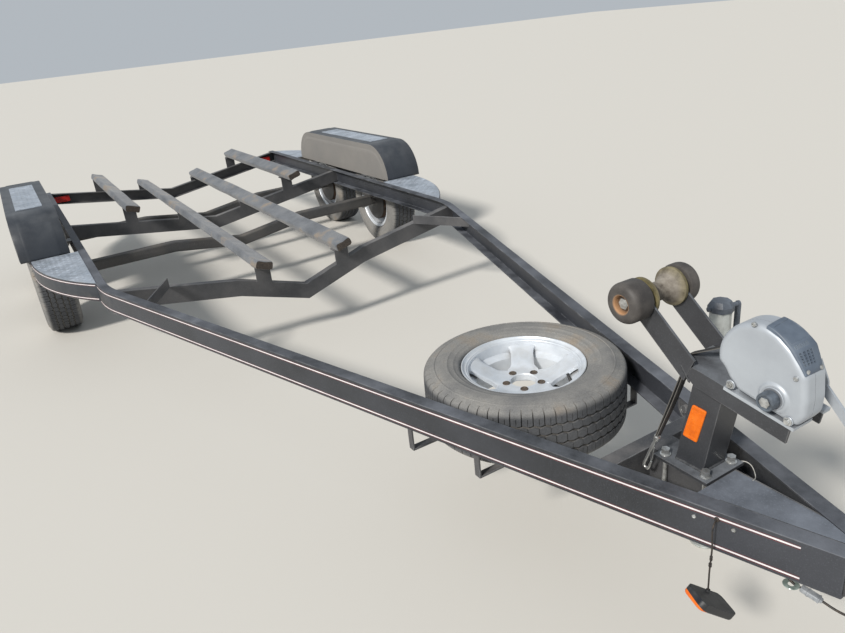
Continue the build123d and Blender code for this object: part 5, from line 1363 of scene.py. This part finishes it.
cover_low, cover_high, cover_near, cover_far = 18.6, 92.6, -0.0640, -0.0140
vent_rows, vent_columns = (29.0, 32.4, 35.8, 39.2, 42.6), (-0.0555, -0.0480, -0.0405, -0.0330)
hole_turn, hole_width, edge_round = 2.3, 0.0050, 0.0018
cover_turns = [cover_low, 18.9, 20.0, 23.0, 26.0]
for first in vent_rows:
    cover_turns += [first, first + 0.12, first + hole_turn - 0.12, first + hole_turn]
cover_turns += [46.3, 47.0, 48.5, 50.0, 50.2, 54.2, 54.4, 57.5, 58.0, 62.0, 66.0, 70.0, 74.0, 78.0, 82.0, 85.5, 86.0]
cover_turns += [88.5, 91.0, 92.2, cover_high]
slot_places = [-0.0565 + 0.0047 * step for step in range(6)]
cover_places = [cover_near, -0.0638, -0.0630, -0.0615, -0.0600, -0.0590, -0.0585]
cover_places += [-0.0265, -0.0230, -0.0195, -0.0170, -0.0165, -0.0150, -0.0142, cover_far]
for first in vent_columns:
    cover_places += [first + side * (hole_width / 2 - inset) for side in (-1, 1) for inset in (0.0, 0.0004)]
for first in slot_places:
    cover_places += [first + side * half for side in (-1, 1) for half in (0.0011, 0.0008)]
cover_places = sorted(set(round(place, 5) for place in cover_places))
near_marks = (
    (18.0, 0.1000), (30.0, 0.0925), (38.0, 0.0885), (45.0, 0.0870), (60.0, 0.0865), (75.0, 0.0890), (93.0, 0.0925),
)
far_marks = (
    (18.0, 0.1010), (30.0, 0.1000), (40.0, 0.1012), (47.0, 0.1035), (58.0, 0.1005), (75.0, 0.0985), (93.0, 0.0965),
)


def between_marks(value, marks):
    """Follow straight runs between (place, value) marks."""
    for (low, first), (high, last) in zip(marks, marks[1:]):
        if value <= high:
            return first + (last - first) * (value - low) / (high - low)


def cover_reach(turn, across):
    """The cover's outer radius about the lobe, with its panel, its slots and its vents sunk in."""
    near, far = between_marks(turn, near_marks), between_marks(turn, far_marks)
    share = (across - cover_near) / 0.0500
    reach = near + (far - near) * (1 - (1 - share) ** 2.2)
    from_edge = min((turn - cover_low) * 0.0017, (cover_high - turn) * 0.0017, across - cover_near, cover_far - across)
    reach -= edge_round * (max(0.0, edge_round - from_edge) / edge_round) ** 2
    if 57.7 < turn < 85.8 and -0.0587 < across < -0.0168:
        reach -= 0.0013
    in_row = any(first + 0.08 < turn < first + hole_turn - 0.08 for first in vent_rows)
    in_column = any(abs(across - first) < hole_width / 2 - 0.0003 for first in vent_columns)
    in_slot = 50.1 < turn < 54.3 and any(abs(across - first) < 0.0009 for first in slot_places)
    return reach - (0.0040 if in_row and in_column else 0.0015 if in_slot else 0.0)


def on_lobe(turn, reach, across):
    """The point at a reach from the lobe's middle, in a direction in degrees."""
    return stand_spot(*(lobe_middle + heading(math.radians(turn)) * reach), across)


cover_build = bmesh.new()
cover_rows = []
for turn in cover_turns:
    outer = [on_lobe(turn, cover_reach(turn, across), across) for across in cover_places]
    cover_rows.append(outer + [on_lobe(turn, 0.0760, across) for across in (cover_places[-1], cover_places[0])])
sweep_ring(cover_build, cover_rows)
add_mesh("vent_cover", cover_build, vent_plastic, smooth=30)
cover_screws = bmesh.new()
cover_screw_steps = (0.0, 0.0046), (0.0014, 0.0046), (0.0024, 0.0036), (0.0026, 0.0018), (0.0014, 0.0016)
for turn, across in ((22.8, -0.0565), (22.0, -0.0200)):
    centre = on_lobe(turn, cover_reach(turn, across) - 0.0004, across)
    outward = (on_lobe(turn, 1.0, 0) - on_lobe(turn, 0.0, 0)).normalized()
    turned_on(cover_screws, centre, outward, axis_y, outward.cross(axis_y), cover_screw_steps, 20)
add_mesh("vent_screws", cover_screws, zinc_plate, smooth=30)

# Winch frame: a zinc drum core, a pale painted side plate on the far side,
# feet on the deck's bars, and a crank arm with a black grip for use by hand.


def plate_piece(name, outline, first_y, last_y, edge=0.0008):
    """A flat painted plate in the stand's side view, with its edges broken."""
    middle = middle_of(outline)
    build = bmesh.new()
    sweep_ring(build, [
        on_side([spot - (spot - middle).normalized() * inset for spot in outline], across)
        for inset, across in ((edge, first_y), (0.0, first_y + edge), (0.0, last_y - edge), (edge, last_y))
    ])
    add_mesh(name, build, winch_silver, smooth=30)


drum_middle = Vector((0.097, 0.345))
flange_front = rounded_corners([Vector(spot) for spot in ((0.190, 0.265), (0.182, 0.322), (0.152, 0.365))], 0.006)[5:]
flange_rear = [Vector((0.050, 0.320)), Vector((0.042, 0.265))]
plate_piece("winch_far_plate", flange_front + arc(drum_middle, 0.050, 40, 8, 18) + flange_rear, 0.0520, 0.0560)
core_build = bmesh.new()
stepped_disc(core_build, drum_middle, ((0.0500, -0.0078), (0.0500, -0.0050), (0.0220, -0.0045), (0.0220, 0.0525)), 40)
add_mesh("winch_drum", core_build, zinc_plate, smooth=30)
foot_outline = [Vector(spot) for spot in ((0.042, 0.2655), (0.201, 0.2655), (0.201, 0.2730), (0.042, 0.2730))]
for label, first_y, last_y in (("near", winch_near_y, -0.0080), ("far", 0.0300, 0.0520)):
    plate_piece("winch_foot_" + label, foot_outline, first_y, last_y, 0.0006)

crank_end, blade_half = Vector((0.285, 0.212)), 0.0100
crank_along = (crank_end - knob_middle).normalized()
crank_across = Vector((-crank_along.y, crank_along.x))
blade_turns = [math.radians(15 * step) for step in range(13)]
blade_outline = [
    end + (crank_along * math.sin(turn) + crank_across * math.cos(turn)) * half
    for end, half in ((crank_end, blade_half), (knob_middle, -blade_half)) for turn in blade_turns
]
plate_piece("crank_blade", blade_outline, 0.0660, 0.0720)
crank_build = bmesh.new()
stepped_disc(crank_build, knob_middle, ((0.0100, 0.0555), (0.0100, 0.0665)), 32)
stepped_disc(crank_build, knob_middle, ((0.0085, 0.0715), (0.0085, 0.0775), (0.0072, 0.0785)), 6)
add_mesh("crank_shaft", crank_build, zinc_plate, smooth=30)
grip_steps = [(0.0120, 0.0716), (0.0140, 0.0726)]
for start in (0.0065 * ridge for ridge in range(12)):
    grip_steps += [(0.0150, start + 0.0745), (0.0150, start + 0.0775)]
    grip_steps += [(0.0140, start + 0.0785), (0.0140, start + 0.0800)]
grip_steps += [(0.0145, 0.1530), (0.0130, 0.1560), (0.0090, 0.1570)]
grip_build = bmesh.new()
stepped_disc(grip_build, crank_end, grip_steps, 40)
add_mesh("crank_grip", grip_build, knob_rubber, smooth=40)

# Winch strap: black polyester webbing, wound on the drum and hung over the
# deck's rear edge to a zinc plated snap hook. Its edges have gone grey, and it
# is sewn back on itself above the hook.
webbing, webbing_tree, webbing_shader = new_material("strap_webbing")
webbing_cloud = noise(webbing_tree, texture_place(webbing_tree), 35.0, 6.0, 0.6)
webbing_tone = colour_steps(webbing_tree, webbing_cloud, ((0.36, (0.014, 0.014, 0.015)), (0.66, (0.040, 0.039, 0.038))))
webbing_edged = veil(webbing_tree, painted_mask(webbing_tree, "edge"), 0.7, webbing_tone, (0.175, 0.165, 0.150))
shade(webbing_tree, webbing_shader, webbing_edged, between(webbing_tree, webbing_cloud, 0.3, 0.7, 0.75, 0.95))
webbing_rib = pattern(webbing_tree, "ShaderNodeTexWave", 260.0)
webbing_rib.bands_direction = "Z"
webbing_rib.inputs["Distortion"].default_value = 1.5
raise_surface(webbing_tree, webbing_shader, webbing_rib.outputs["Fac"], 0.0005, 0.6)

strap_build = bmesh.new()
edge_layer = strap_build.verts.layers.float.new("edge")
ply = 0.0024
ply_section = [(across, side) for side, way in ((1, 1), (-1, -1)) for across in (-way, -0.8 * way, 0.8 * way, way)]


def lay_webbing(places, widths, middles, lifts):
    """One ply of webbing along a line of places, with its width across the trailer."""
    rows = []
    for index, (place, width, middle, lift) in enumerate(zip(places, widths, middles, lifts)):
        before, after = places[max(0, index - 1)], places[min(len(places) - 1, index + 1)]
        along = Vector((after.x - before.x, 0, after.z - before.z)).normalized()
        out = Vector((along.z, 0, -along.x))
        row = []
        for across, side in ply_section:
            at_edge = abs(across) == 1
            rise = lift + side * ply / 2 * (0.55 if at_edge else 1.0)
            vertex = strap_build.verts.new(Vector((place.x, middle + across * width / 2, place.z)) + out * rise)
            vertex[edge_layer] = 0.9 if at_edge else 0.0
            row.append(vertex)
        rows.append(row)
    join_rows(strap_build, rows)
    strap_build.faces.new(list(reversed(rows[0])))
    strap_build.faces.new(rows[-1])


strap_y = 0.022
wind_steps, wind_turns, wind_pitch = 260, 7.2, 0.0030
wind_radius = 0.0460 - ply / 2
edge_spot = stand_spot(-0.079, 0.267, 0.0)
drum_spot = stand_spot(*drum_middle, 0.0)
drum_way = (drum_spot - edge_spot).xz
leave_turn = math.atan2(drum_way.y, drum_way.x) + math.asin(wind_radius / drum_way.length)
leave_spot = drum_spot + Vector((-math.sin(leave_turn), 0, math.cos(leave_turn))) * wind_radius
spiral = []
for step in range(wind_steps):
    back = step / (wind_steps - 1) * math.tau * wind_turns
    turn = leave_turn + math.pi / 2 - back
    radius = wind_radius - wind_pitch * back / math.tau
    spiral.append(drum_spot + Vector((math.cos(turn), 0, math.sin(turn))) * radius)
lay_webbing(spiral, [0.050] * wind_steps, [strap_y] * wind_steps, [0.0] * wind_steps)
run_steps, hang_steps = 17, 24
run_places, run_widths, run_middles = [], [], []
for share in (step / (run_steps - 1) for step in range(run_steps)):
    run_places.append(leave_spot.lerp(edge_spot, share))
    run_widths.append(0.042 - 0.018 * share)
    run_middles.append(strap_y + 0.002 - (strap_y + 0.018) * smooth_step(share, 0.0, 1.0))
hook_top = Vector((2.420, -0.078, 0.5892))
for share in (step / hang_steps for step in range(1, hang_steps + 1)):
    run_places.append(edge_spot.lerp(hook_top, share))
    run_widths.append(0.024 - 0.008 * share)
    run_middles.append(-0.016 + (hook_top.y + 0.016) * share)
lay_webbing(run_places, run_widths, run_middles, [0.0014] * len(run_places))
sewn_widths = [width * 0.92 for width in run_widths[run_steps:]]
sewn_middles = [middle + 0.0015 for middle in run_middles[run_steps:]]
sewn_lifts = [-0.0014 - 0.0030 * math.sin(math.pi * step / (hang_steps - 1)) for step in range(hang_steps)]
lay_webbing(run_places[run_steps:], sewn_widths, sewn_middles, sewn_lifts)
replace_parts(add_mesh("webbing_strap", strap_build, webbing, smooth=45), "winch_strap")

hook_build = bmesh.new()
hook_down = Vector((-0.042, 0, -0.106)).normalized()
hook_aside = Vector((hook_down.z, 0, -hook_down.x))


def bent_rod(build, line, sides=12):
    """A round bar along a line in the hook's own plane, from (down, aside, radius) steps."""
    places = [hook_top + hook_down * down + hook_aside * aside for down, aside, _ in line]
    rings = []
    for index, (place, (_, _, radius)) in enumerate(zip(places, line)):
        way = (places[min(len(places) - 1, index + 1)] - places[max(0, index - 1)]).normalized()
        first = way.cross(axis_y).normalized()
        rings.append(ring_about(place, first, way.cross(first), radius, sides))
    sweep_ring(build, rings)


eye_steps = (-0.004, 0.0050), (-0.002, 0.0078), (0.006, 0.0078), (0.009, 0.0060), (0.013, 0.0058), (0.015, 0.0040)
bent_rod(hook_build, [(down, 0, radius) for down, radius in eye_steps], 20)
hook_line = [(0.012, 0.0, 0.0040), (0.030, 0.0005, 0.0044), (0.060, 0.0, 0.0042), (0.092, -0.0005, 0.0038)]
for turn in (math.radians(15 * step) for step in range(13)):
    hook_line.append((0.1010 + 0.0075 * math.sin(turn), -0.0080 + 0.0080 * math.cos(turn), 0.0038))
hook_line += [(0.090, -0.0155, 0.0036), (0.078, -0.0150, 0.0024)]
bent_rod(hook_build, hook_line)
gate_line = (0.028, -0.002), (0.045, -0.0075), (0.066, -0.0130), (0.080, -0.0140)
bent_rod(hook_build, [(*spot, 0.0014) for spot in gate_line])
bent_rod(hook_build, [(0.030, 0.002, 0.0026), (0.028, -0.0045, 0.0026)])
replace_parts(add_mesh("strap_hook", hook_build, zinc_plate, smooth=40), "snap_hook")

# Tongue jack: a round zinc plated tube in a swivel on the far rail, with a
# black moulded cap and crank above and a sliding leg with a round foot below.
jack_zinc, jack_tree, jack_shader = new_material("jack_zinc")
jack_place = texture_place(jack_tree)
jack_cloud = noise(jack_tree, jack_place, 20.0, 8.0, 0.64)
streak_place = jack_tree.nodes.new("ShaderNodeMapping")
streak_place.inputs["Scale"].default_value = (1.0, 1.0, 0.12)
jack_tree.links.new(jack_place, streak_place.inputs["Vector"])
jack_streak = noise(jack_tree, streak_place.outputs["Vector"], 90.0, 5.0, 0.6)
jack_tone = colour_steps(jack_tree, jack_cloud, ((0.34, (0.360, 0.372, 0.352)), (0.66, (0.540, 0.565, 0.550))))
jack_streaked = veil(jack_tree, jack_streak, 0.6, jack_tone, (0.125, 0.110, 0.088), 0.54, 0.70)
shade(jack_tree, jack_shader, jack_streaked, between(jack_tree, jack_cloud, 0.3, 0.7, 0.38, 0.6))
jack_shader.inputs["Metallic"].default_value = 0.45
raise_surface(jack_tree, jack_shader, jack_streak, 0.0004, 0.3)
for part in ("jack_tube", "jack_leg"):
    finish_node(part, jack_zinc, 0.0010, 40.0)

cap_plastic, cap_tree, cap_shader = new_material("cap_plastic")
cap_place = texture_place(cap_tree)
cap_cloud = noise(cap_tree, cap_place, 28.0, 6.0, 0.6)
cap_tone = colour_steps(cap_tree, cap_cloud, ((0.36, (0.048, 0.057, 0.072)), (0.66, (0.115, 0.135, 0.168))))
cap_film = place_group(cap_tree, settled_dust, patch_scale=22.0, everywhere=0.1)
cap_dusty = veil(cap_tree, cap_film["Mask"], 0.55, cap_tone, (0.150, 0.165, 0.190))
shade(cap_tree, cap_shader, cap_dusty, between(cap_tree, cap_cloud, 0.3, 0.7, 0.38, 0.6))
raise_surface(cap_tree, cap_shader, noise(cap_tree, cap_place, 480.0), 0.0003, 0.4)
finish_node("jack_cap", cap_plastic, 0.0022, 20.0)
finish_node("jack_bracket", member_black, 0.0012)

rail_outward = Vector((math.sin(rail_turn), math.cos(rail_turn), 0))
rail_along = Vector((math.cos(rail_turn), -math.sin(rail_turn), 0))
jack_station = 2.260
bracket_bolts = bmesh.new()
for ahead, height in ((-0.045, 0.502), (0.045, 0.502), (-0.045, 0.436), (0.045, 0.436)):
    x = jack_station + ahead * math.cos(rail_turn)
    middle = Vector((x, rail_side(x), height))
    for steps, sides in (
        (((0.0078, 0.0090), (0.0090, 0.0090), (0.0096, 0.0080)), 20),
        (((0.0094, 0.0066), (0.0146, 0.0066), (0.0154, 0.0056)), 6),
    ):
        turned_on(bracket_bolts, middle, rail_outward, rail_along, axis_z, steps, sides)
add_mesh("bracket_bolts", bracket_bolts, zinc_plate, smooth=30)

swivel_plate, swivel_bolt = bmesh.new(), bmesh.new()
swivel_x, swivel_z = 2.246, 0.4585
swivel_middle = Vector((swivel_x, rail_side(swivel_x), swivel_z))
plate_steps = (
    (0.0040, 0.0330), (0.0062, 0.0330), (0.0070, 0.0322), (0.0070, 0.0262),
    (0.0056, 0.0250), (0.0056, 0.0200), (0.0070, 0.0188), (0.0070, 0.0110),
)
for build, sides, steps in (
    (swivel_plate, 48, plate_steps),
    (swivel_bolt, 24, ((0.0066, 0.0125), (0.0084, 0.0125), (0.0090, 0.0118))),
    (swivel_bolt, 6, ((0.0086, 0.0092), (0.0142, 0.0094), (0.0152, 0.0082))),
    (swivel_bolt, 20, ((0.0150, 0.0048), (0.0176, 0.0048), (0.0182, 0.0042))),
):
    turned_on(build, swivel_middle, -rail_outward, rail_along, axis_z, steps, sides)
add_mesh("swivel_plate", swivel_plate, member_black, smooth=30)
add_mesh("swivel_bolt", swivel_bolt, zinc_plate, smooth=30)

# Lamps: amber side markers with dark backs near the tongue, one still on the
# far rail and one hanging, and two red tail lamps on the rear member.
amber_tones = ((0.34, (0.62, 0.115, 0.004)), (0.66, (0.88, 0.200, 0.006)))
amber_plastic, amber_tree, amber_shader = clouded("amber_lens", (60.0, 5.0, 0.6), amber_tones, (0.32, 0.18))
amber_ribs = pattern(amber_tree, "ShaderNodeTexWave", 110.0)
raise_surface(amber_tree, amber_shader, amber_ribs.outputs["Fac"], 0.0006, 0.4)
finish_node("marker_left", amber_plastic, 0.0025)
red_tones = ((0.36, (0.30, 0.008, 0.008)), (0.66, (0.52, 0.018, 0.014)))
red_plastic, red_tree, red_shader = clouded("red_lens", (40.0, 5.0, 0.6), red_tones, (0.3, 0.16))
red_cells = pattern(red_tree, "ShaderNodeTexVoronoi", 160.0)
raise_surface(red_tree, red_shader, red_cells.outputs["Distance"], 0.0012, 0.5)
finish_node("tail_lamps", red_plastic, 0.003)

# Hanging lamp: it shows its dark moulded back. Only its lens is amber, on the
# side that faces away and down. Its wire's grommet is rubber in the rail.
marker_two, two_tree, two_shader = new_material("hanging_marker")
two_place = texture_place(two_tree)
lens_way = Vector((-0.226, -0.587, -0.777)).normalized() - Vector((0.485, 0.875, 0.0)) * 0.29
marker = nodes["marker_right"]
lens_from = max(lens_way.dot(marker.matrix_world @ corner.co) for corner in marker.data.vertices) - 0.0105
two_along = dot_product(two_tree, two_place, lens_way)
two_lens = between(two_tree, two_along, lens_from - 0.0002, lens_from + 0.0002)
two_cloud = noise(two_tree, two_place, 45.0, 6.0, 0.6)
two_dark = colour_steps(two_tree, two_cloud, ((0.36, (0.009, 0.011, 0.016)), (0.62, (0.030, 0.031, 0.032))))
two_amber = colour_steps(two_tree, two_cloud, ((0.36, (0.62, 0.105, 0.004)), (0.64, (0.85, 0.180, 0.006))))
two_colour = blend_colour(two_tree, two_lens, two_dark, two_amber)
shade(two_tree, two_shader, two_colour, between(two_tree, two_cloud, 0.3, 0.7, 0.4, 0.62))
raise_surface(two_tree, two_shader, noise(two_tree, two_place, 380.0), 0.0004, 0.4)
finish_node("marker_right", marker_two, 0.0012)
finish_node("wire_grommet", wire_jacket, 0.0008)

# Coupler: a pressed steel socket bolted in the tongue's end, with its latch,
# painted black and rubbed on its corners.
finish_node("coupler", member_black, 0.0012)

# Rail screws: two small zinc screws through the right rail near its lamp wire.
rail_screws = bmesh.new()
right_outward, right_along = [Vector((way.x, -way.y, 0)) for way in (rail_outward, rail_along)]
rail_screw_steps = (-0.0005, 0.0050), (0.0010, 0.0050), (0.0026, 0.0042), (0.0032, 0.0026), (0.0024, 0.0020)
for x, height in ((2.578, 0.488), (2.658, 0.490)):
    middle = off_right_rail(x, 0, height)
    turned_on(rail_screws, middle, right_outward, right_along, axis_z, rail_screw_steps, 20)
add_mesh("rail_screws", rail_screws, zinc_plate, smooth=40)

# Wiring: a thin white lead loops out from under the stand's plate on to the
# tongue plate. Under the right rail's end the lamp cable passes a clear ring
# plate and a grey connector, and goes back up under the coupler.
white_tones = ((0.35, (0.34, 0.33, 0.30)), (0.7, (0.62, 0.61, 0.58)))
lead_white = clouded("lead_white", (190.0,), white_tones, (0.4, 0.6))[0]
lead_line = (
    (2.5300, 0.0640, 0.5150), (2.5400, 0.0790, 0.5170), (2.5580, 0.0835, 0.5140), (2.5780, 0.0700, 0.5090),
    (2.5940, 0.0500, 0.5110), (2.6020, 0.0330, 0.5190), (2.6030, 0.0240, 0.5206),
)
white_lead = cord_curve("white_lead", lead_line, 0.0011, lead_white)

clear_tones = ((0.36, (0.130, 0.165, 0.150)), (0.66, (0.260, 0.310, 0.290)))
grey_tones = ((0.36, (0.200, 0.215, 0.235)), (0.66, (0.360, 0.380, 0.405)))
ring_clear = clouded("ring_clear", (85.0,), clear_tones, (0.15, 0.35))[0]
connector_grey = clouded("connector_grey", (70.0, 6.0), grey_tones, (0.35, 0.55))[0]
ring_build, connector_build = bmesh.new(), bmesh.new()
ring_middle = Vector((2.7690, -0.0680, 0.4020))
ring_section = (0.0070, -0.0012), (0.0155, -0.0012), (0.0165, 0.0), (0.0155, 0.0012), (0.0070, 0.0012), (0.0062, 0.0)
sweep_ring(ring_build, [
    [ring_middle + Vector((*(heading(math.tau * step / 40) * radius), rise)) for radius, rise in ring_section]
    for step in range(40)
], loop=True)
connector_start, connector_end = Vector((2.7830, -0.0560, 0.3960)), Vector((2.8250, -0.0480, 0.3880))
connector_way = (connector_end - connector_start).normalized()
connector_side = connector_way.cross(axis_z).normalized()
connector_up = connector_side.cross(connector_way)
connector_outline = []
for corner in range(4):
    far_side, far_up = (1, -1, -1, 1)[corner], (1, 1, -1, -1)[corner]
    for step in range(5):
        turn = math.tau * (corner + step / 4) / 4
        side_reach, up_reach = 0.00612 * far_side + 0.0024 * math.cos(turn), 0.003844 * far_up + 0.0024 * math.sin(turn)
        connector_outline.append(connector_side * side_reach + connector_up * up_reach)
connector_steps = (
    (0.0, 0.55), (0.02, 0.80), (0.06, 0.86), (0.30, 0.86), (0.32, 1.0), (0.40, 1.0),
    (0.42, 0.90), (0.80, 0.90), (0.82, 1.0), (0.88, 1.0), (0.90, 0.70), (1.0, 0.55),
)
sweep_ring(connector_build, [
    [connector_start.lerp(connector_end, share) + spot * swell for spot in connector_outline]
    for share, swell in connector_steps
])
cable_ring = add_mesh("cable_ring", ring_build, ring_clear, smooth=35)
cable_connector = add_mesh("cable_connector", connector_build, connector_grey, smooth=35)
cable_line = (
    (2.7300, -0.0560, 0.4300), (2.7500, -0.0620, 0.4180), (2.7660, -0.0660, 0.4040), (2.7850, -0.0556, 0.3956),
    (2.8060, -0.0516, 0.3916), (2.8240, -0.0482, 0.3882), (2.8480, -0.0440, 0.3820), (2.8780, -0.0400, 0.3830),
    (2.9080, -0.0300, 0.4050), (2.9200, -0.0200, 0.4240),
)
lamp_cable = cord_curve("lamp_cable", cable_line, 0.0026, wire_jacket)
